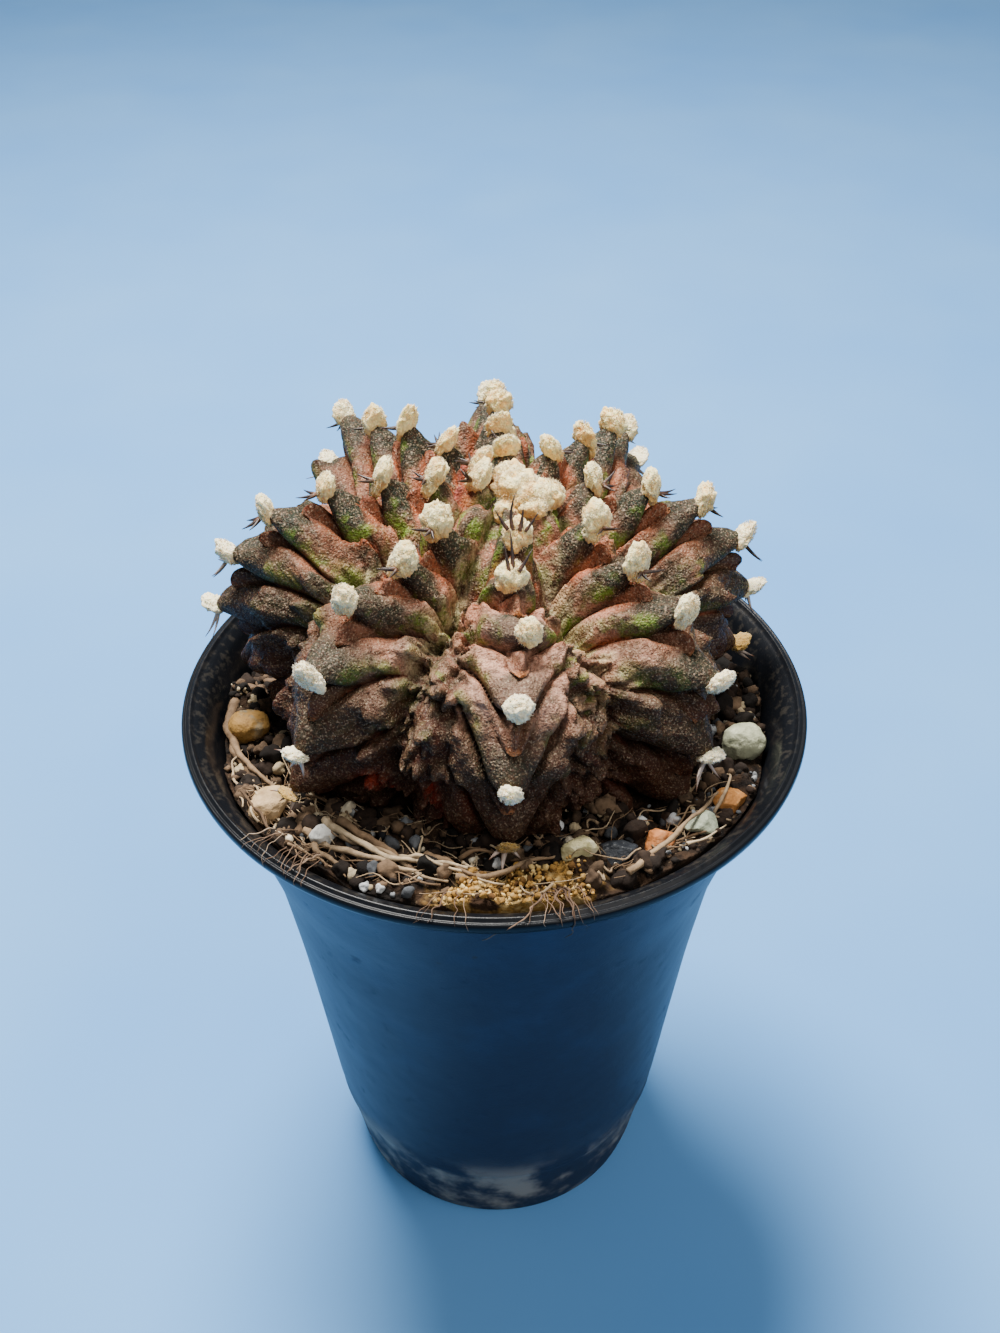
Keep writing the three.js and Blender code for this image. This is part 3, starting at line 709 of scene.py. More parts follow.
@dataclass(frozen=True)
class WoolFinish:
    """The felt of the areoles: golden where young, whiter where old, ochre where it is dried up, with
    painted shade, golden and dusky, on each ball's lower side.
    """

    young: str = "ffecae"
    gold: str = "f6b659"
    old: str = "fff0c8"
    # dust: dusky patches, and painted shade on the balls' lower side
    dust: str = "edb973"
    dried: str = "a5813c"

    def material(self) -> Material:
        """Makes the material.

        Returns:
            The felt, which lets a little light through.
        """
        plain = {"Roughness": 0.95, "Specular IOR Level": 0.1, "Sheen Weight": 0.25, "Sheen Roughness": 0.6}
        plain |= {"Subsurface Weight": 0.35, "Subsurface Scale": 0.0008}
        plain |= {"Subsurface Radius": (1.0, 0.8, 0.5)}
        s = Shader("wool_felt", plain)
        age, under = s.value("age"), s.value("under")
        tone = s.coat(
            self.young,
            (self.old, s.remap(age, 0.1, 0.6)),
            (self.gold, s.times(s.remap(s.noise(1.3, 3.0, 2.0), 0.42, 0.68), s.remap(age, 0.8, 0.0), 0.7)),
            # Painted shade: golden and dusky on each ball's lower side
            (self.gold, s.times(under, s.remap(age, 0.9, 0.1))),
            (self.dust, s.times(under, 0.35)),
            (self.dust, s.times(s.remap(s.noise(0.5, 3.0, 5.0), 0.5, 0.36), 0.25)),
            (self.dried, s.value("dried")),
        )
        return s.finish(tone, s.bump(s.grain(3000.0, 6.0), 0.3, s.bump(s.noise(0.26, 3.0, 8.0), 0.28)))


@dataclass(frozen=True)
class SpineFinish:
    """Spines: near-black on young areoles, chalky grey with brown tips on old ones."""

    dark: str = "2a1a14"
    horn: str = "6d4a35"
    chalk: str = "b9a79b"

    def material(self) -> Material:
        """Makes the material.

        Returns:
            The horn of the spines.
        """
        s = Shader("spine_horn", {"Roughness": 0.42})
        along = s.value("along")
        young = s.coat(self.horn, (self.dark, s.remap(along, 0.05, 0.45)))
        old = s.coat(self.chalk, (self.horn, s.remap(along, 0.6, 1.0)))
        streaks = s.times(s.noise(0.5, 2.0, 3.0), 0.35)
        tone = s.coat(young, (old, s.remap(s.value("age"), 0.45, 0.75)), (self.dark, streaks))
        return s.finish(tone, s.bump(s.noise(0.3, 2.0, 5.0), 0.05))


@dataclass(frozen=True)
class PotFinish:
    """Thin blue-black plastic with dust in its lip, lime near its foot, dirt under the rim, and painted
    shade, near-black, on the lip and the inside wall.
    """

    plastic: str = "242a39"
    sheen: str = "29405c"
    # near-black: painted shade on the lip and the inside wall
    rim: str = "0d0f13"
    lime: str = "9d9384"
    dust: str = "6b6356"
    dirt: str = "2a1f18"

    def material(self) -> Material:
        """Makes the material.

        Returns:
            The plastic, with its wavy wall and its glossier rim.
        """
        s = Shader("pot_plastic", {"Specular IOR Level": 0.15})
        low, rim = s.value("low_band"), s.value("rim")
        tone = s.coat(
            self.plastic,
            (self.sheen, s.times(s.patch(60.0, 2.0, 0.55, 0.3), 0.35)),
            # Painted shade: the lip and the inside wall turn near-black
            (self.rim, rim),
            (self.lime, s.times(s.patch(110.0, 12.0, 0.6, 0.2), low, 0.75)),
            (self.dust, s.times(s.patch(900.0, 15.0, 0.5, 0.12), s.value("lip_dust"), 0.22)),
            (self.dirt, s.times(s.patch(420.0, 31.0, 0.33, 0.04), s.value("front_dirt"))),
        )
        haze = s.times(s.patch(300.0, 44.0, 0.42, 0.2), 0.16)
        rough = s.plus(haze, 0.42, s.times(low, 0.2), s.times(rim, -0.13))
        waves = s.bump(s.noise(9.0, 2.0, 1.0), 0.35)
        return s.finish(tone, s.bump(s.noise(0.35, 2.0, 7.0), 0.02, waves), rough)


@dataclass(frozen=True)
class SoilFinish:
    """Dark fine mix between the crumbs, with an ochre crust at the front."""

    dark: str = "100b08"
    brown: str = "35261a"
    pale: str = "7c6850"
    crust: str = "9c763a"
    crust_pale: str = "d2b478"
    crack: str = "2a1a0e"

    def material(self) -> Material:
        """Makes the material.

        Returns:
            The rough mix.
        """
        s = Shader("soil_bed", {"Roughness": 0.95, "Specular IOR Level": 0.2})
        crust = s.coat(
            self.crust,
            (self.crust_pale, s.remap(s.noise(1.1, 3.0, 7.0), 0.45, 0.7)),
            (self.brown, s.remap(s.noise(2.6, 3.0, 3.0), 0.5, 0.62)),
            (self.crack, s.value("crack")),
        )
        tone = s.coat(
            self.dark,
            (self.brown, s.remap(s.noise(1.6, 4.0, 1.0), 0.38, 0.68)),
            (self.pale, s.times(s.patch(900.0, 3.0, 0.4, 0.08), 0.6)),
            (crust, s.value("crust")),
        )
        return s.finish(tone, s.bump(s.noise(0.35, 3.0, 5.0), 0.25, s.bump(s.noise(1.2, 3.0, 2.0), 0.6)))


@dataclass(frozen=True)
class LitterFinish:
    """Crumbs, roots or fibres, each tinted from a dark, a middle and a pale colour."""

    dark: str
    middle: str
    pale: str
    roughness: float = 0.9
    grain_mm: float = 0.4

    def material(self, name: str) -> Material:
        """Makes the material.

        Args:
            name: its name.

        Returns:
            The material.
        """
        s = Shader(name, {"Roughness": self.roughness, "Specular IOR Level": 0.25})
        tint = s.value("tint")
        tone = s.coat(
            self.dark,
            (self.middle, s.remap(tint, 0.0, 0.5)),
            (self.pale, s.remap(tint, 0.5, 1.0)),
            (self.dark, s.times(s.remap(s.noise(self.grain_mm * 2, 3.0, 2.0), 0.35, 0.7), 0.45)),
        )
        return s.finish(tone, s.bump(s.noise(self.grain_mm, 3.0, 6.0), 0.12))


@dataclass(frozen=True)
class StoneFinish:
    """One stone's own colours."""

    main: str
    second: str
    stain: str
    roughness: float = 0.7

    def material(self, name: str, seed: float) -> Material:
        """Makes the material.

        Args:
            name: the stone's name.
            seed: which pattern it has.

        Returns:
            The material.
        """
        s = Shader(name, {"Roughness": self.roughness, "Specular IOR Level": 0.35})
        second = s.patch(420.0, seed, 0.5, 0.18)
        stain = s.times(s.patch(900.0, seed + 4, 0.44, 0.1), 0.55)
        normal = s.bump(s.noise(0.25, 3.0, seed), 0.08, s.bump(s.noise(1.0, 3.0, seed + 1), 0.25))
        return s.finish(s.coat(self.main, (self.second, second), (self.stain, stain)), normal)


@dataclass(frozen=True)
class Rib:
    """A rib's azimuth, where its first areole is, their spacing, and how its arms run.

    The sways say how far aside each areole stands. The width is the weight with which it shares the
    room between two crests. The arms run back towards the crown by the pace for each millimetre
    aside, and end at their reach, a share of the way to the furrow.
    """

    azimuth: float
    first: float
    spacing: float
    sways: tuple[float, ...] = (0.0, 0.0)
    width: float = 1.0
    pace: float = 0.55
    reach: float = 0.86


@dataclass(frozen=True)
class Areole:
    """Where an areole sits on the skin, which way it faces, and how old it is."""

    rib: int
    point: Array
    facing: Array
    down: Array
    across: Array
    distance: float
    age: float


@dataclass
class Stem:
    """The grown stem, with its ribs, noses, arms, chins, furrows and buried foot."""

    radius: float = 34.0
    top_height: float = 15.5
    widest_z: float = 98.4
    low_height: float = 28.0
    top_squareness: float = 2.57
    low_squareness: float = 2.2
    root_radius: float = 4.0
    root_tip_z: float = 58.0
    centre: tuple[float, float] = (-1.7, 4.3)
    pivot_z: float = 83.0
    lean_forward: float = 2.4
    lean_right: float = 5.1
    crown_shift: tuple[float, float] = (0.8, 4.8)
    back_squeeze: float = 0.07
    soil_z: float = 83.5
    growth: float = 0.35
    bare_foot: float = 5.5
    arm_lead: float = 0.38
    front_spread: float = 41.0
    ground_drop: float = 5.9
    furrow_depth: float = 6.2
    arm_height: float = 3.7
    nose_height: float = 2.9
    chin_height: float = 2.6
    pit_depth: float = 1.9
    seam_depth: float = 0.9
    front_density: float = 15.0
    columns: int = 480
    rows_above: int = 186
    rows_below: int = 16
    fine_below: float = 1.5
    slope_span: float = 0.8
    curve_steps: int = 901
    root_steps: int = 40
    ribs: tuple[Rib, ...] = (
        Rib(3.7, 10.4, 5.95, (0.2, -0.8, 0.8, -0.2, -0.2, 0.4), 1.7, 1.5, 0.42),
        Rib(51.7, 12.0, 6.4, (-0.2, -1.0, -1.2, -1.2, -1.6)),
        Rib(97.6, 10.0, 6.0, (0.0, -1.2, -1.0, -0.8, 0.6)),
        Rib(144.8, 7.8, 5.7, (-0.8, -1.5, -1.7, -0.6)),
        Rib(182.9, 6.0, 4.8, (0.0, 0.5, 0.0)),
        Rib(223.1, 4.4, 5.0, (0.8, 0.8, 1.5, 1.5, 0.0)),
        Rib(271.4, 3.4, 4.7, (0.5, 0.3, -0.5, 1.6, 1.9, 0.1, -1.5)),
        Rib(319.0, 12.0, 6.2, (0.1, 1.4, -0.3, 0.9, 1.4, -1.2)),
    )
    along: Array = field(init=False)
    curve_r: Array = field(init=False)
    curve_z: Array = field(init=False)
    soil_distance: float = field(init=False)
    widest_distance: float = field(init=False)

    def __post_init__(self) -> None:
        """Works out the crest envelope."""
        angle = np.linspace(0, math.pi, self.curve_steps)
        cosine = np.cos(angle)
        square = np.where(cosine >= 0, self.top_squareness, self.low_squareness)
        reach = np.where(cosine >= 0, self.top_height, -self.low_height)
        r = self.radius * np.abs(np.sin(angle)) ** (2 / square)
        z = self.widest_z + reach * np.abs(cosine) ** (2 / square)
        cut = int(np.argmax((cosine < 0) & (r < self.root_radius)))
        share = np.arange(1, self.root_steps + 1) / self.root_steps
        root_z = z[cut - 1] + (self.root_tip_z - z[cut - 1]) * share
        self.curve_r = np.concatenate([r[:cut], self.root_radius * (1 - share) ** 0.6])
        self.curve_z = np.concatenate([z[:cut], root_z])
        steps = np.hypot(np.diff(self.curve_r), np.diff(self.curve_z))
        self.along = np.concatenate([[0.0], np.cumsum(steps)])
        self.widest_distance = float(self.along[np.argmax(self.curve_r)])
        below = (self.along > self.widest_distance) & (self.curve_z < self.soil_z)
        self.soil_distance = float(self.along[np.argmax(below)])

    def _phase(self, s: Array, first: Array, spacing: Array) -> Array:
        """The areole number at a distance, with fractions between areoles.

        Args:
            s: distances along the crest.
            first: the first areole's distance.
            spacing: the first spacing.

        Returns:
            The number at each place.
        """
        past = s - first
        root = np.sqrt(spacing**2 + 4 * self.growth * np.maximum(past, 0))
        return np.where(past < 0, past / spacing, (root - spacing) / (2 * self.growth))

    def _crests(self, s: Array, r: Array) -> Array:
        """Each rib's azimuth, which sways from areole to areole.

        Args:
            s: distances along the crest.
            r: the crest's distances from the stem's axis there.

        Returns:
            One azimuth for each rib at each place.
        """
        lines = []
        for rib in self.ribs:
            number = self._phase(s, np.array(rib.first), np.array(rib.spacing))
            sway = np.interp(number, np.arange(len(rib.sways)), rib.sways)
            lines.append(rib.azimuth + np.degrees(sway / np.maximum(r, 6.0)))
        return np.stack(lines, axis=-1)

    def relief(self, azimuth: Array, s: Array, detail: float = 1.0) -> dict[str, Array]:
        """The height off the crest envelope, with the masks that colour the skin.

        Args:
            azimuth: in degrees.
            s: distances along the crest.
            detail: how much of the fine relief to add.

        Returns:
            Height, droop and the masks by name.
        """
        # Each place's rib, and its share of the way from the crest to the furrow
        r, z = np.interp(s, self.along, self.curve_r), np.interp(s, self.along, self.curve_z)
        crests = self._crests(s, r)
        gaps = (np.roll(crests, -1, axis=-1) - crests) % 360
        looks = [(rib.width, rib.first, rib.spacing, rib.pace, rib.reach) for rib in self.ribs]
        weight, first, spacing, pace, reach = np.array(looks).T
        off = (azimuth[..., None] - crests + 180) % 360 - 180
        near = (np.abs(off) / weight).argmin(-1)
        first, spacing, pace, reach = first[near], spacing[near], pace[near], reach[near]
        off = np.take_along_axis(off, near[..., None], -1)[..., 0]
        beside = (near + np.where(off >= 0, 1, -1)) % len(weight)
        before = np.where(off >= 0, near, near - 1) % len(weight)
        gap = np.take_along_axis(gaps, before[..., None], -1)[..., 0]
        share = np.minimum(1, np.abs(off) / (gap * weight[near] / (weight[near] + weight[beside])))
        side = np.radians(np.abs(off)) * np.maximum(r, 0.5)
        turn = np.radians(azimuth)
        x, y = r * np.sin(turn), -r * np.cos(turn)
        spot = np.stack([x, y, z + 0 * x], axis=-1)
        grown = smooth(s, 2, 16)
        buried = smooth(s, self.soil_distance - 1, self.soil_distance + 9)
        size = 0.55 + 0.45 * grown
        turned = (azimuth - self.ribs[0].azimuth + 180) % 360 - 180
        front = np.exp(-((turned / self.front_spread) ** 2))
        wedge = near == 0

        # Arms that run down and back into the furrows
        bend = 1.1 * ARM_WANDER.at(x, y, z) * smooth(share, 0.1, 0.8) * grown
        pace = np.minimum(pace, 0.45 + 1.1 * smooth(s, 21, 34))
        start = np.where(wedge, 1.3, 3.0) * (1 - np.exp(-side / np.where(wedge, 1.5, 2.4)))
        phase = (self._phase(s + pace * side + grown * start + bend, first, spacing) + self.arm_lead) % 1.0
        end = smooth(share, reach - np.where(wedge, 0.1, 0.16), reach + np.where(wedge, 0.08, 0.14))
        fade = np.sqrt(np.clip(1 - end * end, 0.0, 1.0)) * 0.94 + 0.06
        square = 2.15 + 0.75 * smooth(s, 12, 36) + 0.9 * wedge
        arm = np.clip(1 - np.abs(2 * phase - 1) ** square, 0, 1) ** 0.5
        arm = np.maximum(arm, 0.58 * wedge * np.exp(-((side / 2.6) ** 2)) * smooth(s, 14, 20))

        # Noses under the areoles, with a pit and a chin below each
        crest = self._phase(s, first, spacing) + self.arm_lead
        index = np.maximum(np.floor(crest), 0)
        crest_phase = crest - index
        crest_arm = np.clip(1 - np.abs(2 * np.clip(crest_phase, 0, 1) - 1) ** 2.8, 0, 1) ** 0.5
        past = s - (first + spacing * index + self.growth * index * index)
        step = spacing + self.growth * (2 * index + 1)
        above = np.minimum(past, 0) / ((3.4 + 1.6 * wedge) * size)
        below = np.maximum(past, 0) / (1.35 * size)
        nose = np.exp(-(above**2) - below**2 - (side / ((2.9 + 0.9 * wedge) * size)) ** 2) * crest_arm
        down = (past / step - 0.14) / np.where(wedge, 0.47, 0.54)
        tongue = smooth(down, 0.1, 0.75) * (1 - smooth(down, 0.95, 1.08))
        slope = np.clip(down, 0, 1)
        blade = np.where(wedge, 2.7 - 1.6 * slope, 1.25 - 0.5 * slope) * size
        chin = tongue * np.exp(-((side / blade) ** 2))
        hollow = (past / step - 0.19 - 0.04 * wedge) / (0.11 - 0.04 * wedge)
        pit = np.exp(-(hollow**2) - (side / ((1.9 - 0.5 * wedge) * size)) ** 2)

        # The height that they add up to
        depth = self.furrow_depth - 1.6 * smooth(s, 40, 54) - 3.5 * front * smooth(s, 20, 36)
        furrow = depth * smooth(s, 1, 26) * (0.62 * share**1.35 + 0.38 * smooth(share, 0.62, 1.02))
        arm_share = (0.78 + 0.22 * np.exp(-side / 6)) * (0.55 + 0.45 * grown) * fade
        lumps = 0.95 * MIDDLE_LUMPS.at(x, y, z) * smooth(share, 0.15, 0.7)
        lumps = lumps + 0.35 * BROAD_LUMPS.at(x, y, z)
        seam = np.exp(-((np.minimum(phase, 1 - phase) / 0.06) ** 2)) * smooth(share, 0.03, 0.15) * fade
        height = -self.ground_drop * size - furrow + self.arm_height * arm * arm_share
        height = height + (self.nose_height - 0.5 * wedge) * size * nose - self.seam_depth * seam * grown
        height = height + self.chin_height * size * chin - (self.pit_depth + 0.9 * wedge) * size * pit
        height = height + lumps * grown
        edge = wedge * tongue * np.exp(-(((side - 1.3 * blade) / 0.35) ** 2))
        height = height - self.seam_depth * edge * smooth(s, 14, 20)

        # Wrinkles and brain-like knobs towards the furrows
        warped = spot + 0.8 * layered_noise(spot, 2.4, 2, 5)[..., None]
        worms = np.abs(value_noise(warped * np.array([1, 1, 0.8]), 3.0, 44))
        knobs, _ = cobbles(warped, 3.5, 40)
        folds, _ = cobbles(spot * np.array([1, 1, 0.7]), 1.5, 60)
        rough = np.maximum(smooth(share, reach - 0.08, reach + 0.1), 0.4 * smooth(share, 0.35, 0.8)) * grown
        brain = np.minimum(smooth(worms, 0.0, 0.26), smooth(knobs, 0.0, 0.34))
        # Creases between the knobs, a mask for painted shade
        crease_shade = (1 - smooth(np.minimum(worms * 1.3, knobs), 0.0, 0.13)) * rough
        fine = 1.9 * (brain - 0.6) + 2.5 * front * smooth(s, 16, 28)
        fine = (fine - 1.2 * front * smooth(s, 40, 50)) * rough
        fine = fine + 0.42 * (smooth(folds, 0.0, 0.45) - 0.6) * (0.3 + 0.7 * smooth(share, 0.1, 0.6))
        fine = fine + 0.24 * layered_noise(spot, 1.8, 3, 90)
        height = height + detail * fine * grown * (1 - buried)
        root = -5 * np.exp(-np.maximum(s - self.soil_distance, 0) / 14)
        # The hollows between the arms, a mask for painted shade
        groove = (1 - arm) * (0.15 + 0.85 * fade) * (0.3 + 0.7 * smooth(share, 0.02, 0.2))
        ember = smooth(turned, -40, -33) * (1 - smooth(turned, -10, -4)) * smooth(s, 44, 48)
        ember = ember * (1 - smooth(s, 52, 55))
        between = smooth(past / step, 0.1, 0.3) * (1 - smooth(past / step, 0.5, 0.72))
        shields = front**2 * smooth(s, 13, 20) * (1 - smooth(s, 28, 40))
        return {
            "height": height * (1 - buried) + root * buried,
            "droop": (1.1 * nose + 1.2 * chin * smooth(down, 0.4, 0.9)) * grown * (1 - buried),
            "nose": nose * (1 - smooth(s, self.soil_distance - 9, self.soil_distance - 4)),
            # groove, crease and pit mark where the skin is painted with shade
            "groove": np.clip(groove + 0.25 * crease_shade, 0, 1) * (0.35 + 0.65 * grown),
            "crease_shade": np.clip(crease_shade, 0, 1),
            "pit": np.clip(pit * grown * 1.3, 0, 1),
            "glow": between * np.exp(-((side / 4.6) ** 2)),
            "under": phase * smooth(share, 0.06, 0.3) * (1 - smooth(share, 0.86, 1.0)),
            "over": (1 - phase) * smooth(share, 0.04, 0.2) * (1 - smooth(share, 0.6, 0.95)),
            "chin": chin * smooth(down, 0.25, 0.7),
            "tip": chin * smooth(down, 0.6, 0.95),
            "share": share,
            # the knob tops, which the finish tints tan, partly as a painted highlight
            "knob_tan_and_highlight": np.clip(brain * rough, 0, 1),
            "ember": np.clip(1.3 * (1 - arm) * ember, 0, 1),
            "front": shields * (1 - 0.8 * smooth(share, reach - 0.05, reach + 0.1)),
            "age": np.clip(s / self.soil_distance, 0, 1.2),
        }

    def place(self, r: Array, z: Array, azimuth: Array) -> Array:
        """Moves points of the upright stem to where the leaning stem has them.

        Args:
            r: distances from the stem's axis.
            z: heights.
            azimuth: in degrees.

        Returns:
            Places, three numbers in each row.
        """
        turn = np.radians(azimuth)
        lift = np.clip((z - self.widest_z) / self.top_height, 0, 1)
        back = np.maximum(0, -np.cos(turn)) * smooth(self.widest_z + 10 - z, 0, 8)
        flat = r * (1 - self.back_squeeze * back)
        x = flat * np.sin(turn) + self.crown_shift[0] * lift
        y = -flat * np.cos(turn) + self.crown_shift[1] * lift
        up = z - self.pivot_z
        tip, lean = math.radians(self.lean_forward), math.radians(self.lean_right)
        y, up = math.cos(tip) * y - math.sin(tip) * up, math.sin(tip) * y + math.cos(tip) * up
        x, up = math.cos(lean) * x + math.sin(lean) * up, -math.sin(lean) * x + math.cos(lean) * up
        return np.stack([x + self.centre[0], y + self.centre[1], up + self.pivot_z], axis=-1)

    def skin(self, azimuth: Array, s: Array, off: float, detail: float) -> tuple[Array, dict[str, Array]]:
        """Points of the skin, or at a distance off it.

        Args:
            azimuth: in degrees.
            s: distances along the crest.
            off: how far off the skin.
            detail: how much of the fine relief to add.

        Returns:
            The places and the masks.
        """
        masks = self.relief(azimuth, s, detail)
        turns = [0, 14, self.widest_distance, self.widest_distance + 24, float(self.along[-1])]
        turn = np.radians(np.interp(s, turns, [0, 12, 84, 108, 112]))
        curves = (self.curve_r, self.curve_z)
        r, z = (np.interp(s, self.along, curve) for curve in curves)
        ahead, behind = ([np.interp(s + step, self.along, c) for c in curves] for step in (0.25, -0.25))
        step_r, step_z = ahead[0] - behind[0], ahead[1] - behind[1]
        length = np.maximum(np.hypot(step_r, step_z), 1e-9)
        height = masks.pop("height") + off
        droop = masks.pop("droop")
        flat = r + np.sin(turn) * height + step_r / length * droop
        high = z + np.cos(turn) * height + step_z / length * droop
        return self.place(np.maximum(flat, np.minimum(r, 0.02)), high, azimuth), masks

    def bare(self, azimuth: Array, s: Array) -> tuple[Array, Array]:
        """A place on the skin without its fine relief, and the way that it faces."""
        point, raised = (self.skin(azimuth, s, off, 0.0)[0][0] for off in (0.0, 1.0))
        return point, unit(raised - point)

    def areoles(self) -> list[Areole]:
        """Every areole above the soil.

        Returns:
            The areoles, rib by rib from the crown down.
        """
        found = []
        for number, rib in enumerate(self.ribs):
            index = 0
            limit = self.soil_distance - self.bare_foot
            while (s := rib.first + rib.spacing * index + self.growth * index * index) < limit:
                spots = np.array([s, s, s + self.slope_span, s - self.slope_span])
                turn = self._crests(spots, np.interp(spots, self.along, self.curve_r))[:, number]
                point, facing = self.bare(turn[:1], spots[:1])
                ahead = self.skin(turn[2:], spots[2:], 0.0, 0.0)[0]
                down = unit(ahead[0] - ahead[1])
                age = float(smooth(s, 8, self.soil_distance))
                found.append(Areole(number, point, facing, down, unit(np.cross(facing, down)), s, age))
                index += 1
        return found

    def build(self) -> Piece:
        """Makes the stem's mesh with its masks.

        Returns:
            The piece.
        """
        edge, end = self.soil_distance + self.fine_below, float(self.along[-1])
        above = np.linspace(0, edge, self.rows_above + 1)[1:]
        below = np.linspace(edge, end, self.rows_below + 1)[1:-1]
        turn = np.arange(self.columns) / self.columns
        azimuth = self.ribs[0].azimuth + 360 * turn - self.front_density * np.sin(2 * math.pi * turn)
        grid_s, grid_a = np.meshgrid(np.concatenate([above, below]), azimuth, indexing="ij")
        rings, masks = self.skin(grid_a, grid_s, 0.0, 1.0)
        top = self.skin(np.array([0.0]), np.array([0.0]), 0.0, 1.0)[0][0]
        foot = self.place(np.array(0.0), np.array(self.root_tip_z), np.array(0.0))
        ends = {"age": [0.0, 1.2]}
        values = {name: np.append(mask.ravel(), ends.get(name, [0.0, 0.0])) for name, mask in masks.items()}
        stack = MeshStack()
        stack.add(*capped_rings(rings, top, foot), **values)
        return stack.build("stem", SkinFinish().material())


@dataclass
class Wool:
    """The felt balls of the areoles, the crown's cushion and their fuzz."""

    stem: Stem
    young_radius: float = 1.78
    old_radius: float = 1.25
    sharp_rib: int = 0
    tuft_seed: int = 7
    crown_seed: int = 19
    level: int = 3
    flat: float = 0.92
    lobe_chance: float = 0.65
    lobe_share: float = 0.66
    fuzz_length: float = 0.34
    fuzz_radius: float = 0.06
    fuzz_count: int = 440
    dried_age: float = 0.915
    dried_flat: float = 0.45
    dried_lift: float = 0.5
    crown: tuple[Triple, ...] = (
        (95, 1.2, 2.9),
        (66, 3.2, 2.7),
        (118, 3.6, 2.5),
        (170, 2.0, 2.1),
        (20, 2.0, 2.1),
        (88, 5.2, 2.0),
        (45, 4.8, 1.6),
    )

    def _felt(
        self, stack: MeshStack, centre: Array, axes: Array, radius: float, age: float, draw: Draws
    ) -> None:
        """Adds one felt ball with its fuzz.

        Args:
            stack: what it is added to.
            centre: its centre.
            axes: across, down and facing, one in each row.
            radius: its radius.
            age: from 0 at the crown to 1 at the soil, where it has dried to a crust.
            draw: the random draws.
        """
        points, faces = BALLS[self.level]
        dried = float(age > self.dried_age)
        seed = int(draw.integers(1, 9999))
        swell = 1 + 0.2 * layered_noise(points + seed, 0.9, 2, 3)
        swell = swell + 0.2 * layered_noise(points + seed, 0.2, 2, 5)
        squash = np.array([1.0, 1.0, self.dried_flat if dried else self.flat])
        # The ball's lower side, which the felt's finish darkens with painted shade
        under = smooth(0.75 * points[:, 1] - 0.65 * points[:, 2], 0.05, 0.95)
        shape = points * swell[:, None] * radius * squash
        stack.add(centre + shape @ axes, faces, age=age, under=under, dried=dried)
        count = int(self.fuzz_count * (radius / self.young_radius) ** 2)
        way = unit(draw.normal(size=(count, 3)))
        way[:, 2] = np.where(way[:, 2] < -0.35, -way[:, 2], way[:, 2])
        lean = unit(way + 0.55 * draw.normal(size=(count, 3)))
        length = self.fuzz_length * (0.5 + 0.8 * draw.random(count)) * (radius / self.young_radius)
        base = centre + (way * radius * 0.97 * squash) @ axes
        tips = base + (lean * length[:, None]) @ axes
        side = unit(np.cross(tips - base, np.array([0.3, 0.2, 0.93])))
        other = unit(np.cross(tips - base, side))
        turns = [2 * math.pi * turn / 3 for turn in range(3)]
        foot = [base + (math.cos(a) * side + math.sin(a) * other) * self.fuzz_radius for a in turns]
        start = 4 * np.arange(count)[:, None]
        cones = np.concatenate([start + np.array(f) for f in ((0, 1, 3), (1, 2, 3), (2, 0, 3), (0, 2, 1))])
        stack.add(np.stack([*foot, tips], axis=1).reshape(-1, 3), cones, age=age, under=0.0, dried=dried)

    def build_tufts(self, areoles: list[Areole]) -> Piece:
        """Makes the wool of every areole.

        Args:
            areoles: where they are.

        Returns:
            The piece.
        """
        draw = np.random.default_rng(self.tuft_seed)
        stack = MeshStack()
        for spot in areoles:
            axes = np.stack([spot.across, spot.down, spot.facing])
            radius = self.young_radius + (self.old_radius - self.young_radius) * spot.age
            radius = radius * (0.93 + 0.16 * draw.random()) * (0.94 if spot.rib == self.sharp_rib else 1.0)
            centre = spot.point + spot.facing * radius * 0.18
            if spot.age > self.dried_age:
                self._felt(stack, centre + spot.facing * self.dried_lift, axes, radius, spot.age, draw)
                continue
            self._felt(stack, centre, axes, radius, spot.age, draw)
            if draw.random() < self.lobe_chance and spot.rib != self.sharp_rib:
                aside = spot.across * radius * 0.4 * draw.normal()
                lobe = centre + spot.down * radius * 0.5 - spot.facing * radius * 0.3 + aside
                self._felt(stack, lobe, axes, radius * self.lobe_share, spot.age, draw)
        return stack.build("areole_wool", WoolFinish().material())

    def build_crown(self) -> Piece:
        """Makes the cushion over the growing point, from merged felt balls.

        Returns:
            The piece.
        """
        draw = np.random.default_rng(self.crown_seed)
        stack = MeshStack()
        for azimuth, distance, radius in self.crown:
            point, facing = self.stem.bare(np.array([float(azimuth)]), np.array([float(distance)]))
            across = unit(np.cross(facing, np.array([0.2, 1.0, 0.1])))
            axes = np.stack([across, np.cross(facing, across), facing])
            self._felt(stack, point + facing * radius * 0.25, axes, radius, 0.0, draw)
        return stack.build("crown_cushion", WoolFinish().material())


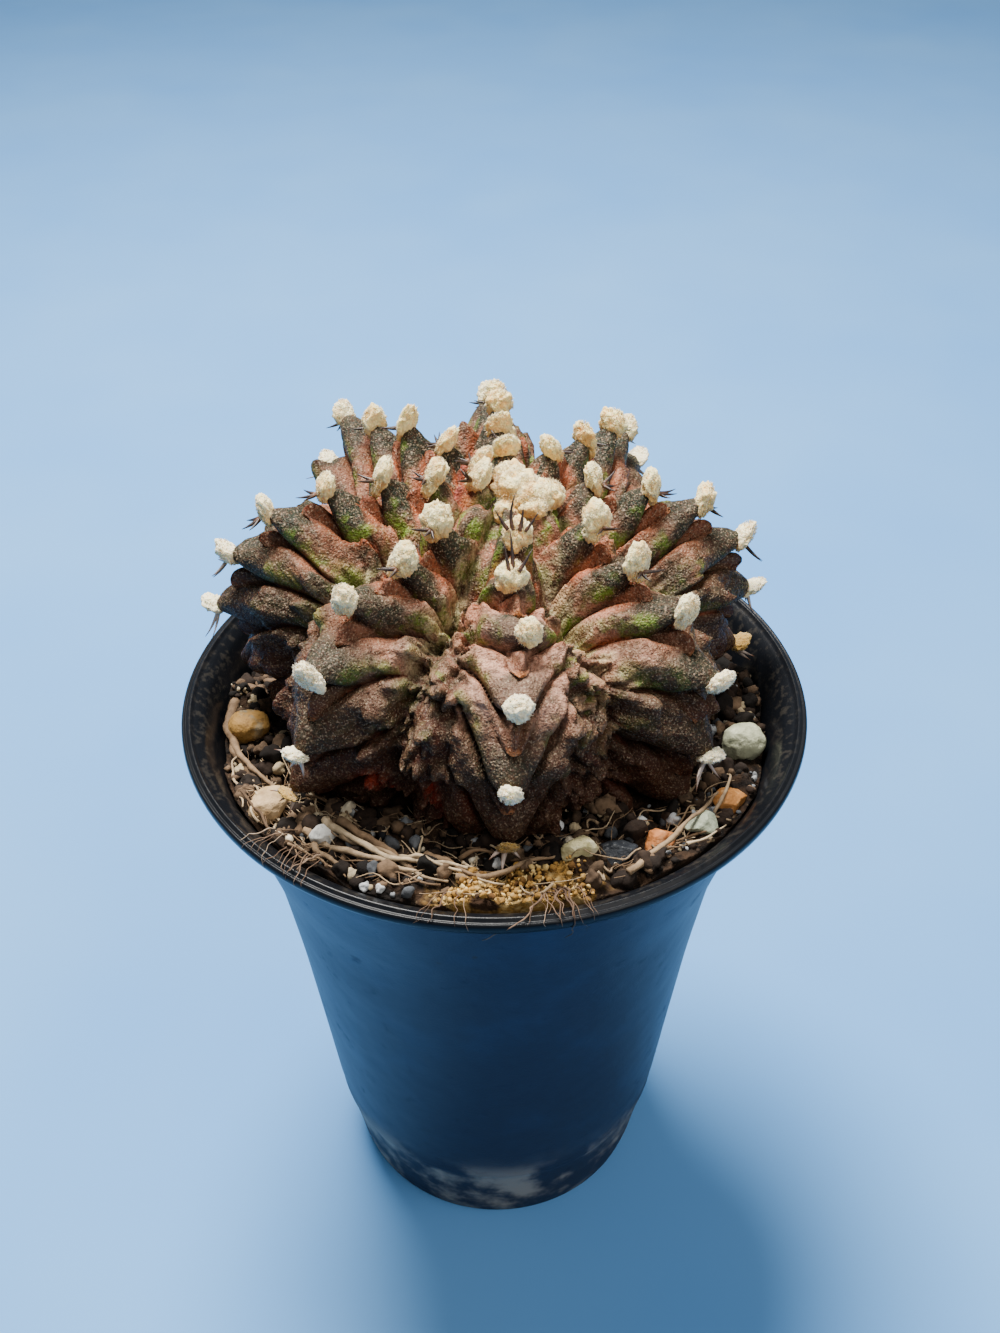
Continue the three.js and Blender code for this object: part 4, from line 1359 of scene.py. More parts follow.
@dataclass
class Spines:
    """The spines of every areole."""

    young_length: float = 1.5
    old_length: float = 4.2
    buried: float = 0.9
    thickness: float = 0.27
    dried_stoutness: float = 1.35
    dried_shortness: float = 0.6
    shed: tuple[float, float] = (0.2, 0.77)
    bare_ribs: tuple[int, ...] = (0, 1, 7)
    upright_rib: int = 0
    young_age: float = 0.6
    seed: int = 3
    sides: int = 6
    steps: int = 6

    def build(self, areoles: list[Areole], soil_distance: float) -> Piece:
        """Makes the spines.

        Args:
            areoles: where they grow.
            soil_distance: how far along the crest the soil is.

        Returns:
            The piece.
        """
        draw = np.random.default_rng(self.seed)
        stack = MeshStack()
        share = np.linspace(0, 1, self.steps)
        for spot in areoles:
            young, dried = spot.age < self.young_age, spot.age > Wool.dried_age
            if self.shed[0] < spot.age < self.shed[1] and spot.rib in self.bare_ribs:
                continue
            count = 3 + int(draw.random() < 0.4) * (spot.age < 0.9)
            room = soil_distance - spot.distance
            upright = young and spot.rib == self.upright_rib
            droop, lift = (-0.75, 0.75) if upright else (0.85 * float(smooth(room, 6, 14)), 0.6)
            for number in range(count):
                fan = (number - (count - 1) / 2) * 0.62 + 0.2 * draw.normal()
                if upright:
                    fan = 0.8 * fan
                fall = droop + 0.15 * draw.normal()
                way = unit(spot.facing * lift + spot.down * fall + spot.across * fan)
                length = self.young_length + (self.old_length - self.young_length) * spot.age**2
                length = min(length, 0.5 * room) * (0.7 + 0.6 * draw.random()) + self.buried
                bend = spot.facing * 0.3 - spot.down * 0.25 + spot.across * 0.3 * draw.normal()
                out, low = (0.8, 1.45) if young else (0.2, 0.7)
                root = spot.point + spot.facing * out + spot.down * low
                if upright:
                    root = spot.point + spot.facing * 1.5 + spot.down * 0.5 + spot.across * fan
                    length += 1.4 * (number == 1)
                length *= self.dried_shortness if dried else 1.0
                stout = self.thickness * (self.dried_stoutness if dried else 1.0)
                path = root + way * length * share[:, None] + bend * length * 0.35 * (share**2)[:, None]
                radii = stout * (1 - 0.9 * share**1.5) * (0.85 + 0.3 * draw.random())
                along = np.concatenate([np.repeat(share, self.sides), [0.0, 1.0]])
                stack.add(*tube(path, radii, self.sides), along=along, age=spot.age)
        return stack.build("spines", SpineFinish().material())


@dataclass
class Pot:
    """The thin flared nursery pot with its curled lip, foot ring and drain holes."""

    wall: float = 0.8
    foot_inner: float = 19.6
    floor_under: float = 2.0
    floor_top: float = 3.2
    drain_radius: float = 2.6
    drain_ring: float = 13.0
    drains: int = 6
    drain_sides: int = 28
    drill_span: tuple[float, float] = (6.0, 0.5)
    sides: int = 160
    flare_span: tuple[float, float] = (14.8, 85.0)
    flare_rows: int = 26
    radii: tuple[float, ...] = (22.4, 24.7, 25.3, 26.9, 28.8, 31.0, 34.4, 37.5)
    heights: tuple[float, ...] = (0.0, 12.6, 14.4, 30.0, 48.0, 64.0, 76.0, 86.0)
    band: tuple[tuple[float, float], ...] = (
        (22.1, 0.0), (22.6, 0.35), (23.1, 2.5), (23.9, 7.5), (24.6, 12.2), (24.85, 13.1), (25.2, 13.9)
    )
    lip: tuple[tuple[float, float], ...] = (
        (37.45, 85.9), (37.9, 86.1), (38.8, 86.0), (39.5, 85.95), (39.88, 86.15), (40.0, 86.6),
        (39.97, 87.1), (39.8, 87.4), (39.6, 87.42), (39.5, 87.3), (39.3, 87.34), (39.12, 87.62),
        (38.92, 87.72), (38.74, 87.6), (38.6, 87.36), (38.3, 87.2), (37.9, 86.95), (37.5, 86.6),
        (37.2, 86.35), (37.0, 86.0),
    )

    def _profile(self) -> Array:
        """The closed outline of the wall, the lip, the floor and the foot ring.

        Returns:
            Radius and height pairs.
        """
        heights = np.linspace(*self.flare_span, self.flare_rows)
        flare = np.stack([self._wall_radius(heights), heights], axis=-1)
        inner = flare[::-1] - np.array([self.wall, 0.0])
        floor = [(23.9 - self.wall, 8.0), (22.9 - self.wall, self.floor_top + 0.5)]
        floor += [(21.6, self.floor_top), (0.0, self.floor_top)]
        under = [(0.0, self.floor_under), (19.0, self.floor_under), (self.foot_inner, 1.5)]
        under += [(self.foot_inner + 0.2, 0.3), (20.1, 0.0)]
        return np.concatenate([under, self.band, flare, self.lip, inner, floor])

    def _wall_radius(self, z: Array) -> Array:
        """The wall's outer radius at heights, eased between the knots."""
        plain = [np.interp(z + shift, self.heights, self.radii) for shift in (-3, -1.5, 0, 1.5, 3)]
        return np.where(z > 82, plain[2], np.mean(plain, axis=0))

    def inner_radius(self, z: Array | float) -> Array | float:
        """The radius inside the wall at a height."""
        return np.interp(z, self.heights, self.radii) - self.wall

    def build(self) -> Piece:
        """Makes the pot with its holes.

        Returns:
            The piece.
        """
        profile = self._profile()
        body = profile[profile[:, 0] >= 1e-6]
        turns = 2 * math.pi * np.arange(self.sides) / self.sides
        high = np.broadcast_to(body[:, None, 1], (len(body), self.sides))
        rings = np.stack([body[:, None, 0] * np.cos(turns), body[:, None, 0] * np.sin(turns), high], axis=-1)
        under, top = np.array([0, 0, self.floor_under]), np.array([0, 0, self.floor_top])
        vertices, faces = capped_rings(rings, under, top)
        z, radius = vertices[:, 2], np.hypot(vertices[:, 0], vertices[:, 1])
        low = (1 - smooth(z, 11, 19)) * smooth(radius, 22.0, 22.6)
        lip = 0.45 * smooth(z, 83.5, 86.0) * (1 - smooth(radius, 38.3, 38.8))
        lip = lip + 0.2 * smooth(z, 87.45, 87.65)
        front = smooth(-vertices[:, 1], 10, 34) * smooth(z, 60, 84) * smooth(radius, 30, 33)
        inside = smooth(radius, 30, 31) * (z > 60) * (radius < self._wall_radius(z) - 0.4)
        values = {"low_band": low, "lip_dust": np.clip(lip, 0, 1), "front_dirt": front}
        # The lip and the inside wall, which the finish paints near-black as shade and makes glossier
        values["rim"] = np.maximum(smooth(z, 85.2, 86.0), inside)
        stack = MeshStack()
        stack.add(vertices, [face[::-1] for face in faces], **values)
        piece = stack.build("pot_shell")
        self._drill(piece)
        piece.data.materials.append(PotFinish().material())
        return piece

    def _drill(self, piece: Piece) -> None:
        """Cuts the drain holes.

        Args:
            piece: the pot.
        """
        stack = MeshStack()
        places = [(0.0, 0.0)]
        for turn in [2 * math.pi * i / self.drains for i in range(self.drains)]:
            places.append((self.drain_ring * math.cos(turn), self.drain_ring * math.sin(turn)))
        turns = 2 * math.pi * np.arange(self.drain_sides) / self.drain_sides
        for x, y in places:
            circle = [x + self.drain_radius * np.cos(turns), y + self.drain_radius * np.sin(turns)]
            ends = [np.column_stack([*circle, np.full(self.drain_sides, z)]) for z in self.drill_span]
            top, foot = (np.array([x, y, z]) for z in self.drill_span)
            stack.add(*capped_rings(np.stack(ends), top, foot))
        drill = stack.build("drill")
        cut = piece.modifiers.new("drains", "BOOLEAN")
        cut.operation = "DIFFERENCE"
        cut.object = drill
        cut.solver = "EXACT"
        bpy.context.view_layer.update()
        shape = bpy.data.meshes.new_from_object(piece.evaluated_get(bpy.context.evaluated_depsgraph_get()))
        piece.modifiers.clear()
        piece.data = shape
        bpy.data.objects.remove(drill)


@dataclass(frozen=True)
class Stone:
    """A stone's name, place, half sizes, turn, how sharp its facets are, and its finish."""

    name: str
    azimuth: float
    distance: float
    half: Triple
    turn: float
    facets: float
    finish: StoneFinish


@dataclass(frozen=True)
class Crumbs:
    """A kind of crumb: how many are tried, between which sizes and azimuths, how fine, and the finish."""

    name: str
    count: int
    sizes: tuple[float, float]
    azimuths: tuple[float, float]
    level: int
    finish: LitterFinish


@dataclass
class Mix:
    """The potting mix with its crumbs, roots and stones."""

    stem: Stem
    pot: Pot
    top_z: float = 82.4
    mound: float = 3.2
    lumps: float = 0.6
    crust_height: float = 1.0
    crust_azimuth: float = 4.5
    crust_half_width: float = 15.0
    crust_inner: float = 30.4
    brim_guess: float = 35.0
    bed_inner: float = 15.0
    bed_outer: float = 34.9
    bed_edge: float = 35.15
    bed_rows: int = 76
    bed_columns: int = 420
    bed_ceiling: float = 88.2
    bed_levels: tuple[float, ...] = (80.0, 76.0, 64.0, 48.0, 30.0, 14.4, 8.0, 4.0)
    bed_foot: float = 3.6
    wall_gap: float = 0.35
    sink: float = 0.35
    facet_planes: int = 12
    stone_seed: int = 50
    litter_seed: int = 200
    root_seed: int = 77
    root_step: float = 0.6
    root_sides: int = 7
    fibre_seed: int = 91
    fibre_points: int = 26
    fibre_sides: int = 5
    skin_reach: Array = field(init=False)
    stones: tuple[Stone, ...] = (
        Stone("stone_ochre_left", 275, 32.0, (2.7, 2.3, 2.0), 0.4, 0.3,
              StoneFinish("9c763c", "857c66", "5d3f1d")),
        Stone("stone_tan_left", 304, 33.0, (2.6, 2.0, 1.8), 1.1, 0.35,
              StoneFinish("b89b74", "9a7d58", "b3952e")),
        Stone("stone_pale_disc", 78.5, 32.3, (2.6, 2.2, 2.6), 0.2, 0.4,
              StoneFinish("a8ab8e", "868a70", "cfd0b4")),
        Stone("stone_amber_right", 59.5, 33.4, (2.3, 1.8, 1.7), 0.7, 1.0,
              StoneFinish("a06a34", "6f4c2e", "c69a63")),
        Stone("stone_grey_right", 46.0, 33.6, (1.9, 1.6, 1.4), 0.1, 1.0,
              StoneFinish("9aa28c", "7c8474", "c4c7b0")),
        Stone("stone_orange_front", 37.5, 31.8, (2.2, 1.8, 1.8), 0.9, 1.0,
              StoneFinish("b9733f", "c48a60", "7d4422")),
        Stone("stone_charcoal_front", 28.0, 30.0, (2.3, 1.7, 1.6), 0.3, 1.0,
              StoneFinish("26292e", "3b3f45", "14161a", 0.45)),
        Stone("stone_yellow_front", 18.5, 30.4, (2.1, 1.5, 1.6), 0.5, 1.0,
              StoneFinish("b8ae82", "d9d3b6", "7d7434")),
        Stone("stone_white_front", 320.5, 31.6, (1.7, 1.4, 1.3), 0.8, 1.0,
              StoneFinish("c9c8c2", "8d8d8a", "4b4a48")),
        Stone("stone_grey_back", 232, 32.4, (2.2, 1.7, 1.5), 1.3, 0.6,
              StoneFinish("84857f", "a3a19a", "5b5750")),
    )
    kinds: tuple[Crumbs, ...] = (
        Crumbs("bark_crumbs", 1700, (0.3, 1.45), (0, 360), 2, LitterFinish("0c0907", "2c2018", "6f5944")),
        Crumbs("pumice_crumbs", 330, (0.25, 1.0), (0, 360), 2, LitterFinish("7c6d55", "b5a382", "ded3bb")),
        Crumbs("crust_crumbs", 900, (0.18, 0.5), (348, 380), 1, LitterFinish("54381a", "a47c3c", "dcbf80")),
        Crumbs("ash_crumbs", 190, (0.25, 1.1), (300, 460), 2, LitterFinish("1c1d20", "5d6064", "c9cbcb")),
    )
    root_finish: LitterFinish = LitterFinish("33241a", "836a50", "cdb795", 0.85, 0.5)
    fibre_finish: LitterFinish = LitterFinish("2b1c14", "7c6350", "c7b39a", 0.85, 0.4)
    strands: tuple[tuple[float, float, tuple[Triple, ...]], ...] = (
        (0.55, 0.5, ((322, 29.5, 1.0), (330, 29.9, 1.5), (339, 29.8, 1.4), (347, 30.4, 1.0),
                     (354, 31.4, 0.6))),
        (0.42, 0.65, ((324, 30.8, 0.7), (333, 30.6, 1.1), (343, 31.2, 0.9), (350, 32.0, 0.5))),
        (0.45, 0.4, ((345, 29.4, 0.9), (350, 30.8, 1.4), (352, 32.2, 1.1), (356, 33.2, 1.3))),
        (0.48, 0.85, ((319, 30.2, 1.2), (328, 31.0, 1.6), (337, 31.0, 1.7), (346, 31.6, 1.5),
                      (354, 32.2, 1.2))),
        (0.4, 0.7, ((321, 32.4, 0.9), (331, 32.6, 1.4), (341, 32.8, 1.3), (351, 33.6, 1.0))),
        (0.5, 0.6, ((316, 31.8, 1.4), (322, 33.2, 1.3), (327, 34.2, 1.2), (331, 35.0, 1.4))),
        (0.3, 0.8, ((338, 29.8, 1.9), (345, 31.2, 2.0), (351, 32.8, 1.8), (2, 33.6, 1.6))),
        (0.4, 0.6, ((352, 33.2, 1.3), (359, 32.2, 1.6), (6, 31.0, 1.5), (13, 30.4, 1.3))),
        (0.3, 0.45, ((352, 29.0, 0.9), (357, 28.6, 1.6), (2, 28.8, 1.2))),
        (0.75, 0.35, ((266, 34.3, 0.9), (276, 34.6, 1.5), (286, 33.4, 1.3), (296, 31.2, 1.0),
                      (304, 29.8, 0.9))),
        (0.5, 0.55, ((280, 34.0, 1.8), (290, 32.6, 1.9), (301, 30.4, 1.2))),
        (0.42, 0.62, ((24.6, 35.4, 1.6), (34, 34.0, 1.9), (45, 33.2, 2.4), (56, 32.6, 3.0))),
        (0.2, 0.2, ((300, 35.3, 1.6), (311, 34.9, 1.0), (322, 34.4, 0.8))),
        (0.26, 0.7, ((52, 33.4, 1.4), (62, 32.2, 1.9), (70, 30.8, 1.4))),
    )
    loose_roots: int = 260
    clumps: tuple[tuple[float, int, float, float], ...] = (
        (322, 13, 4.0, 1.2), (9, 9, 1.6, 4.5), (351, 5, 1.6, 1.2), (316, 3, 1.5, 0.6), (14, 5, 2.0, 2.0)
    )

    def __post_init__(self) -> None:
        """Notes how far out the stem's skin is at the soil, for each degree round the pot."""
        azimuth = np.arange(0, 360, 0.5)
        table = np.zeros(360)
        for drop in (-2.0, 0.0, 2.0):
            level = np.full_like(azimuth, self.stem.soil_distance + drop)
            points = self.stem.skin(azimuth, level, 0.0, 0.0)[0]
            turn = np.degrees(np.arctan2(points[:, 0], -points[:, 1])) % 360
            reach = np.hypot(points[:, 0], points[:, 1])
            for degree in range(360):
                near = np.abs((turn - degree + 180) % 360 - 180) < 2.5
                if near.any():
                    table[degree] = max(table[degree], reach[near].max())
        self.skin_reach = table

    def height(self, x: Array, y: Array) -> Array:
        """The height of the mix's surface, without its fine relief.

        Args:
            x: places along X.
            y: places along Y.

        Returns:
            One height for each place.
        """
        mound = self.mound * smooth(-y, 8, 32)
        aside = np.abs(np.degrees(np.arctan2(x, -y)) - self.crust_azimuth)
        heap = 1 - smooth(aside, self.crust_half_width - 4, self.crust_half_width + 4)
        heap = heap * smooth(np.hypot(x, y), self.crust_inner, self.crust_inner + 1.6)
        return self.top_z + mound + self.crust_height * heap + self.lumps * SOIL_LUMPS.at(x, y, 0 * x)

    def brim(self, azimuth: Array | float) -> Array | float:
        """How far out the mix reaches, just inside the wall.

        Args:
            azimuth: in degrees.

        Returns:
            One distance for each azimuth.
        """
        turn = np.radians(azimuth)
        level = self.height(self.brim_guess * np.sin(turn), -self.brim_guess * np.cos(turn))
        return self.pot.inner_radius(level) - self.wall_gap

    def crust(self, x: Array, y: Array) -> Array:
        """How much of the ochre crust covers a place, from 0 to 1.

        Args:
            x: places along X.
            y: places along Y.

        Returns:
            One share for each place.
        """
        spot = np.stack([x, y, 0 * x], axis=-1)
        azimuth = np.degrees(np.arctan2(x, -y)) + 4 * value_noise(spot, 2.5, 61)
        distance = np.hypot(x, y) + 0.9 * value_noise(spot, 2.0, 62)
        return smooth(azimuth, -12, -6) * (1 - smooth(azimuth, 17, 21)) * smooth(distance, 30.6, 31.6)

    def stone_centre(self, stone: Stone) -> Array:
        """The centre of a stone that is sunk in the mix."""
        x, y = ground_spot(stone.azimuth, stone.distance)
        return np.array([x, y, self.height(x, y) + stone.half[2] * (1 - 2 * self.sink)])

    def build_bed(self) -> Piece:
        """Makes the body of the mix, with a rough top.

        Returns:
            The piece.
        """
        azimuth = 2 * math.pi * np.arange(self.bed_columns) / self.bed_columns
        radii = np.append(np.linspace(self.bed_inner, self.bed_outer, self.bed_rows), self.bed_edge)
        grid_r, grid_a = np.meshgrid(radii, azimuth, indexing="ij")
        room = self.brim(np.degrees(azimuth)) - self.bed_inner
        grid_r = self.bed_inner + (grid_r - self.bed_inner) * room / (radii[-1] - self.bed_inner)
        x, y = grid_r * np.sin(grid_a), -grid_r * np.cos(grid_a)
        spot = np.stack([x, y, 0 * x], axis=-1)
        crumbs, pick = cobbles(spot, 1.3, 11)
        popcorn, _ = cobbles(spot + 0.3 * value_noise(spot, 1.5, 3)[..., None], 0.95, 21)
        crust = self.crust(x, y)
        rough = 0.5 * smooth(crumbs, 0.0, 0.6) * (0.4 + pick) * (1 - crust)
        rough = rough + 0.45 * layered_noise(spot, 2.2, 4, 30) - 0.25
        rough = rough + crust * 0.9 * smooth(popcorn, 0.0, 0.4) * (0.5 + 0.5 * pick)
        rings = [np.stack([x, y, np.minimum(self.height(x, y) + rough, self.bed_ceiling)], axis=-1)]
        for z in self.bed_levels:
            r = self.pot.inner_radius(z) - self.wall_gap
            ring = [r * np.sin(azimuth), -r * np.cos(azimuth), np.full(self.bed_columns, z)]
            rings.append(np.stack(ring, axis=-1)[None])
        top, foot = np.array([0, 0, self.top_z]), np.array([0, 0, self.bed_foot])
        vertices, faces = capped_rings(np.concatenate(rings)[:, ::-1], top, foot)
        rest = len(vertices) - crust.size
        masks = {"crust": crust, "crack": 1 - smooth(popcorn, 0.0, 0.22)}
        values = {name: np.pad(mask[:, ::-1].ravel(), (0, rest)) for name, mask in masks.items()}
        stack = MeshStack()
        stack.add(vertices, [face[::-1] for face in faces], **values)
        return stack.build("soil_bed", SoilFinish().material())

    def build_stones(self) -> list[Piece]:
        """Makes each stone as a piece of its own.

        Returns:
            The pieces, in the stones' order.
        """
        made = []
        for number, stone in enumerate(self.stones):
            points, faces = BALLS[4]
            draw = np.random.default_rng(number + self.stone_seed)
            facing = points @ unit(draw.normal(size=(self.facet_planes, 3))).T
            reach = 0.62 + 0.24 * draw.random(self.facet_planes)
            cut = np.min(np.where(facing > 0.05, reach / np.maximum(facing, 0.05), 9.0), axis=1)
            swell = 1.12 + 0.09 * layered_noise(points + number * 3, 0.7, 4, 8)
            shape = points * (np.minimum(1.0, cut) ** stone.facets * swell)[:, None] * np.array(stone.half)
            cosine, sine = math.cos(stone.turn), math.sin(stone.turn)
            shape = shape @ np.array([[cosine, sine, 0], [-sine, cosine, 0], [0, 0, 1]])
            stack = MeshStack()
            stack.add(shape + self.stone_centre(stone), faces)
            finish = stone.finish.material(stone.name, 2.0 * number)
            made.append(stack.build(stone.name + "_dressed", finish))
        return made

    def _free_spot(self, draw: Draws, azimuths: tuple[float, float], room: float) -> Array | None:
        """A random spot on the mix that is clear of the stem, the stones and the wall.

        Args:
            draw: the random draws.
            azimuths: where it may be, in degrees.
            room: how far it keeps from them.

        Returns:
            X and Y, or None where the draw isn't clear.
        """
        azimuth = azimuths[0] + (azimuths[1] - azimuths[0]) * draw.random()
        inner = self.skin_reach[int(azimuth) % 360]
        brim = float(self.brim(azimuth))
        distance = inner + 0.3 + room + draw.random() * (brim - inner - 2 * room)
        if distance > brim - room:
            return None
        spot = ground_spot(azimuth, distance)
        for stone in self.stones:
            if np.hypot(*(spot - self.stone_centre(stone)[:2])) < stone.half[0] * 0.9 + room:
                return None
        return spot

    def build_litter(self) -> list[Piece]:
        """Makes the crumbs of the mix, by kind.

        Returns:
            The pieces.
        """
        made = []
        for order, kind in enumerate(self.kinds):
            draw = np.random.default_rng(self.litter_seed + order)
            stack = MeshStack()
            for _ in range(kind.count):
                radius = kind.sizes[0] + (kind.sizes[1] - kind.sizes[0]) * draw.random() ** 2.2
                spot = self._free_spot(draw, kind.azimuths, radius * 0.7)
                if spot is None:
                    continue
                points, faces = BALLS[kind.level - (radius < 0.65 * kind.sizes[1])]
                stretch = 0.6 + 0.5 * draw.random(3)
                rough = 1 + 0.42 * value_noise(points + draw.integers(1, 999), 0.6, 2)
                axes = np.linalg.qr(draw.normal(size=(3, 3)))[0]
                lift = radius * (0.15 + 0.5 * draw.random())
                crusted = float(self.crust(*spot)) > 0.3
                if crusted != (kind.name == "crust_crumbs"):
                    continue
                lift += crusted * (0.2 + 0.6 * draw.random())
                centre = np.array([*spot, float(self.height(*spot)) + lift])
                shape = (points * rough[:, None] * stretch * radius) @ axes
                stack.add(centre + shape, faces, tint=draw.random())
            made.append(stack.build(kind.name, kind.finish.material(kind.name)))
        return made

    def _strand(
        self, stack: MeshStack, spots: tuple[Triple, ...], radius: float, tint: float, draw: Draws
    ) -> None:
        """Adds one root or stalk through chosen spots.

        Args:
            stack: what it is added to.
            spots: azimuth, distance and height over the mix of each point.
            radius: its radius at its thick end.
            tint: its place between the dark and the pale colour.
            draw: the random draws.
        """
        coarse = []
        for azimuth, distance, lift in spots:
            x, y = ground_spot(azimuth, distance)
            coarse.append([x, y, float(self.height(x, y)) + lift])
        coarse = np.array(coarse)
        length = np.concatenate([[0], np.cumsum(np.linalg.norm(np.diff(coarse, axis=0), axis=1))])
        share = np.linspace(0, length[-1], max(8, int(length[-1] / self.root_step)))
        path = np.stack([np.interp(share, length, coarse[:, axis]) for axis in range(3)], axis=-1)
        relax(path, 3)
        wander = shaken(path, 2.2, 9, 40, draw)
        path = path + wander * np.array([0.55, 0.55, 0.25]) * min(1.0, radius / 0.25 + 0.4)
        radii = radius * (1 - 0.6 * share / length[-1]) * (1 + 0.32 * value_noise(path * 2, 1.1, 4))
        stack.add(*tube(path, radii, self.root_sides), tint=tint)

    def build_roots(self) -> Piece:
        """Makes the dead roots, the bark strips and the dry stalk.

        Returns:
            The piece.
        """
        draw = np.random.default_rng(self.root_seed)
        stack = MeshStack()
        for radius, tint, spots in self.strands:
            self._strand(stack, spots, radius, tint, draw)
        for _ in range(self.loose_roots):
            azimuth = 296 + 130 * draw.random() ** 1.7
            inner = self.skin_reach[int(azimuth) % 360] + 0.6
            brim = float(self.brim(azimuth)) - 0.4
            distance = inner + (brim - inner) * draw.random()
            sweep = (draw.random() - 0.5) * 2
            spots = []
            for step in range(4):
                lift = 0.3 + 1.1 * draw.random()
                reach = min(brim, max(inner, distance + draw.normal() * 0.9))
                spots.append((azimuth + sweep * step * 5, reach, lift))
            radius = 0.06 + 0.16 * draw.random() ** 3
            self._strand(stack, tuple(spots), radius, 0.2 + 0.8 * draw.random(), draw)
        return stack.build("dead_roots", self.root_finish.material("dead_roots"))

    def _fibre(self, stack: MeshStack, middle: float, spread: float, drop: float, draw: Draws) -> None:
        """Adds one root fibre that lies over the rim.

        Args:
            stack: what it is added to.
            middle: the azimuth of its clump.
            spread: how far it strays from there, in degrees.
            drop: how far it may hang below the rim.
            draw: the random draws.
        """
        azimuth = middle + spread * draw.normal()
        end = azimuth + 5.0 * draw.normal()
        fall = drop * draw.random() ** 1.5
        knots = [(34.4, 86.6), (36.2, 87.9), (38.2, 88.15), (39.8, 87.9), (40.2, 87.0)]
        knots += [(39.2, 85.8 - 0.4 * fall), (38.0 + 0.5 * draw.random(), 85.2 - fall)]
        shares = np.linspace(0, 1, len(knots))
        ends = (0.25 * draw.random(), shares[-1] if draw.random() < 0.3 else 0.4 + 0.3 * draw.random())
        dense = np.linspace(*ends, self.fibre_points)
        r, z = (np.interp(dense, shares, side) for side in zip(*knots))
        turn = np.radians(azimuth + (end - azimuth) * dense)
        path = np.stack([r * np.sin(turn), -r * np.cos(turn), z], axis=-1)
        relax(path, 2)
        path = path + shaken(path, 1.1, 2, 30, draw) * np.array([0.45, 0.3, 0.3])
        radii = (0.05 + 0.16 * draw.random() ** 3) * np.linspace(1, 0.4, len(path))
        stack.add(*tube(path, radii, self.fibre_sides), tint=0.2 + 0.6 * draw.random())

    def build_rim_fibres(self) -> Piece:
        """Makes the root fibres that lie over the rim and hang down the pot's front.

        Returns:
            The piece.
        """
        draw = np.random.default_rng(self.fibre_seed)
        stack = MeshStack()
        for middle, count, spread, drop in self.clumps:
            for _ in range(count):
                self._fibre(stack, middle, spread, drop, draw)
        return stack.build("rim_fibres", self.fibre_finish.material("rim_fibres"))


@dataclass(frozen=True)
class Lamp:
    """A soft round lamp, with its place and width in metres."""

    name: str
    place: Triple
    size: float
    watts: float
    tone: Triple


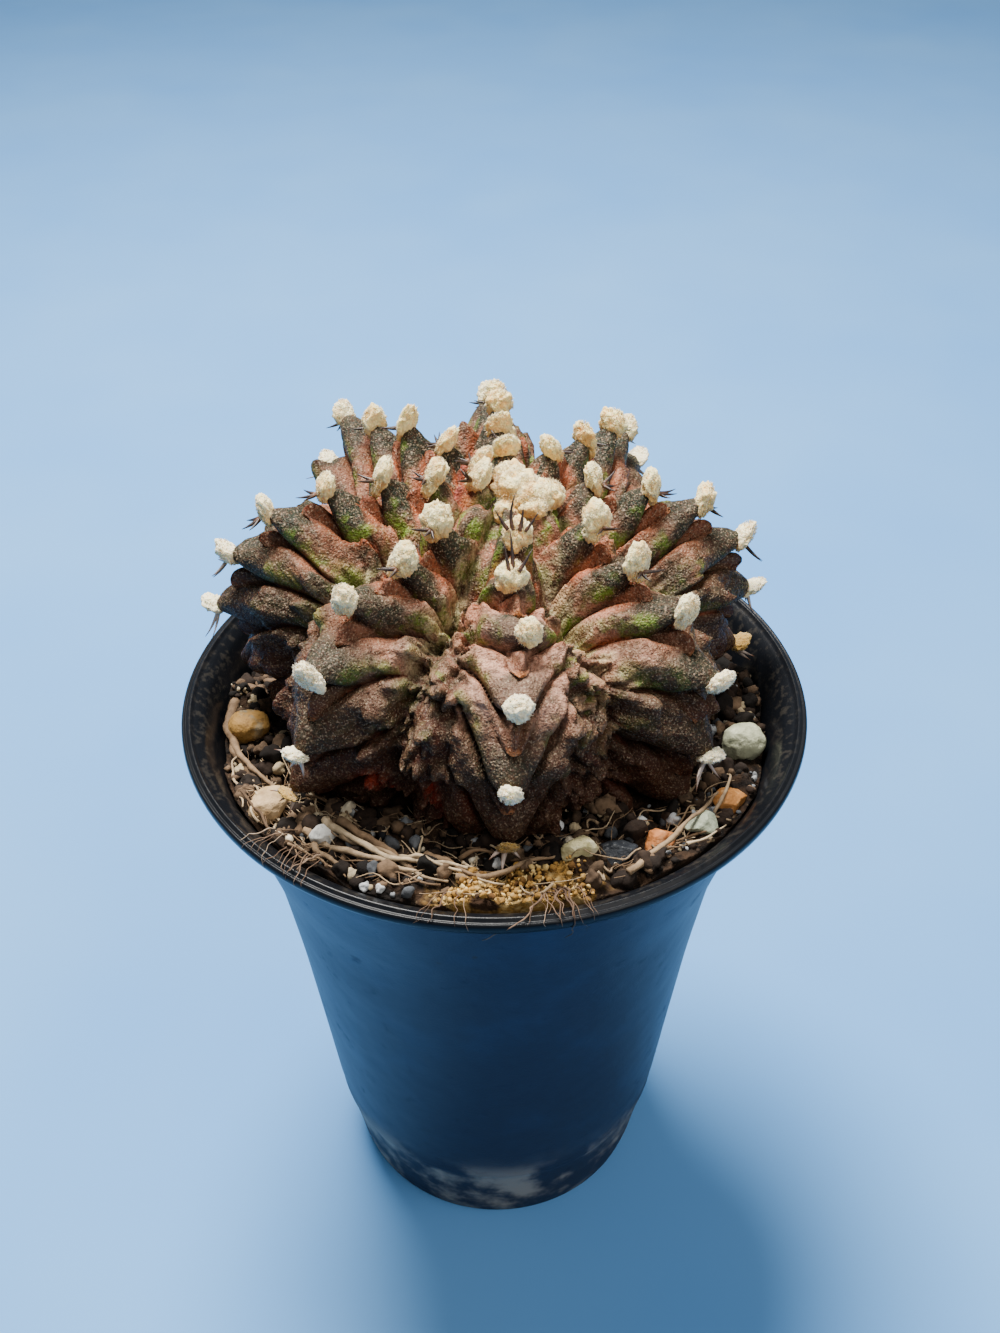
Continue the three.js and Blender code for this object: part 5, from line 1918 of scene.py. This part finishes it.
@dataclass
class Studio:
    """The floor, the light and the camera at the photograph's viewing angle.

    The lamps and the point that they aim at are given in metres.
    """

    floor_tones: tuple[str, str] = ("4a8bcf", "649dd4")
    floor_reach: float = 2500.0
    focal_px: float = 1400.0
    picture: tuple[int, int] = (1000, 1333)
    camera_place: Triple = (0.0, -139.218, 203.556)
    right: Triple = (0.99997, -0.007338, -0.002496)
    up: Triple = (0.006554, 0.628607, 0.777696)
    forward: Triple = (0.004138, 0.777689, -0.628636)
    aim: Triple = (0.0, 0.0, 0.09)
    sky_tone: tuple[float, ...] = (0.86, 0.93, 1.0, 1.0)
    sky_strength: float = 0.34
    lamps: tuple[Lamp, ...] = (
        Lamp("key", (-0.1, 0.22, 0.66), 0.3, 16.8, (1.0, 0.97, 0.92)),
        Lamp("fill", (0.3, -0.3, 0.55), 0.5, 2.0, (1.0, 0.95, 0.88)),
    )

    def build_camera(self) -> None:
        """Makes the camera."""
        lens = bpy.data.cameras.new("camera")
        lens.sensor_width = 36.0
        lens.sensor_fit = "AUTO"
        lens.lens = self.focal_px * lens.sensor_width / max(self.picture)
        lens.clip_start = 0.005
        camera = bpy.data.objects.new("camera", lens)
        turn = Matrix([Vector(self.right), Vector(self.up), -Vector(self.forward)]).transposed().to_4x4()
        camera.matrix_world = Matrix.Translation(Vector(self.camera_place) * MM) @ turn
        bpy.context.scene.collection.objects.link(camera)
        bpy.context.scene.camera = camera

    def build_floor(self) -> None:
        """Makes the plain pale floor."""
        reach = self.floor_reach
        corners = [(-reach, -reach, 0), (reach, -reach, 0), (reach, reach, 0), (-reach, reach, 0)]
        s = Shader("floor_paint", {"Roughness": 0.8})
        tone = s.coat(self.floor_tones[0], (self.floor_tones[1], s.noise(60.0, 2.0, 1.0)))
        stack = MeshStack()
        stack.add(np.array(corners, float), [[0, 1, 2, 3]])
        floor = stack.build("floor", s.finish(tone))
        floor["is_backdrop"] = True

    def build_light(self) -> None:
        """Makes the soft light: high, from slightly behind, with a dim blue sky."""
        for lamp in self.lamps:
            light = bpy.data.lights.new(lamp.name, "AREA")
            light.shape = "DISK"
            light.size = lamp.size
            light.energy = lamp.watts
            light.color = lamp.tone
            hung = bpy.data.objects.new(lamp.name, light)
            hung.location = lamp.place
            ahead = Vector(self.aim) - Vector(lamp.place)
            hung.rotation_euler = ahead.to_track_quat("-Z", "Y").to_euler()
            bpy.context.scene.collection.objects.link(hung)
        world = bpy.data.worlds.new("sky")
        world.use_nodes = True
        sky = world.node_tree.nodes["Background"]
        sky.inputs["Color"].default_value = self.sky_tone
        sky.inputs["Strength"].default_value = self.sky_strength
        bpy.context.scene.world = world


def adopt(piece: Piece, slot: str, *nodes: str) -> None:
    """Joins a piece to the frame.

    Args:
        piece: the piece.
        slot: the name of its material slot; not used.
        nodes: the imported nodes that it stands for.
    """
    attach(piece, "root")
    if nodes:
        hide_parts(*nodes)
    LOG.info("%s: %d faces", piece.name, len(piece.data.polygons))


def write_sizes() -> None:
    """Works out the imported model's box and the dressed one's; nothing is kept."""
    boxes = {"cad": CAD_BOX, "visual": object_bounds()}
    {name: [list(corner) for corner in box] for name, box in boxes.items()}


def main() -> None:
    """Builds the studio and every piece in order."""
    logging.basicConfig(level=logging.INFO, format="%(name)s %(message)s")
    studio = Studio()
    studio.build_camera()
    studio.build_floor()
    studio.build_light()
    stem, pot = Stem(), Pot()
    areoles = stem.areoles()
    adopt(stem.build(), "cactus_skin", "cactus")
    wool = Wool(stem)
    adopt(wool.build_tufts(areoles), "wool")
    adopt(wool.build_crown(), "wool", "crown_wool")
    adopt(Spines().build(areoles, stem.soil_distance), "cactus_skin")
    adopt(pot.build(), "pot_plastic", "pot")
    mix = Mix(stem, pot)
    adopt(mix.build_bed(), "potting_mix", "potting_mix")
    for piece, stone in zip(mix.build_stones(), mix.stones):
        adopt(piece, stone.name, stone.name)
    for piece in mix.build_litter() + [mix.build_roots(), mix.build_rim_fibres()]:
        adopt(piece, "potting_mix")
    write_sizes()


if __name__ == "__main__":
    main()
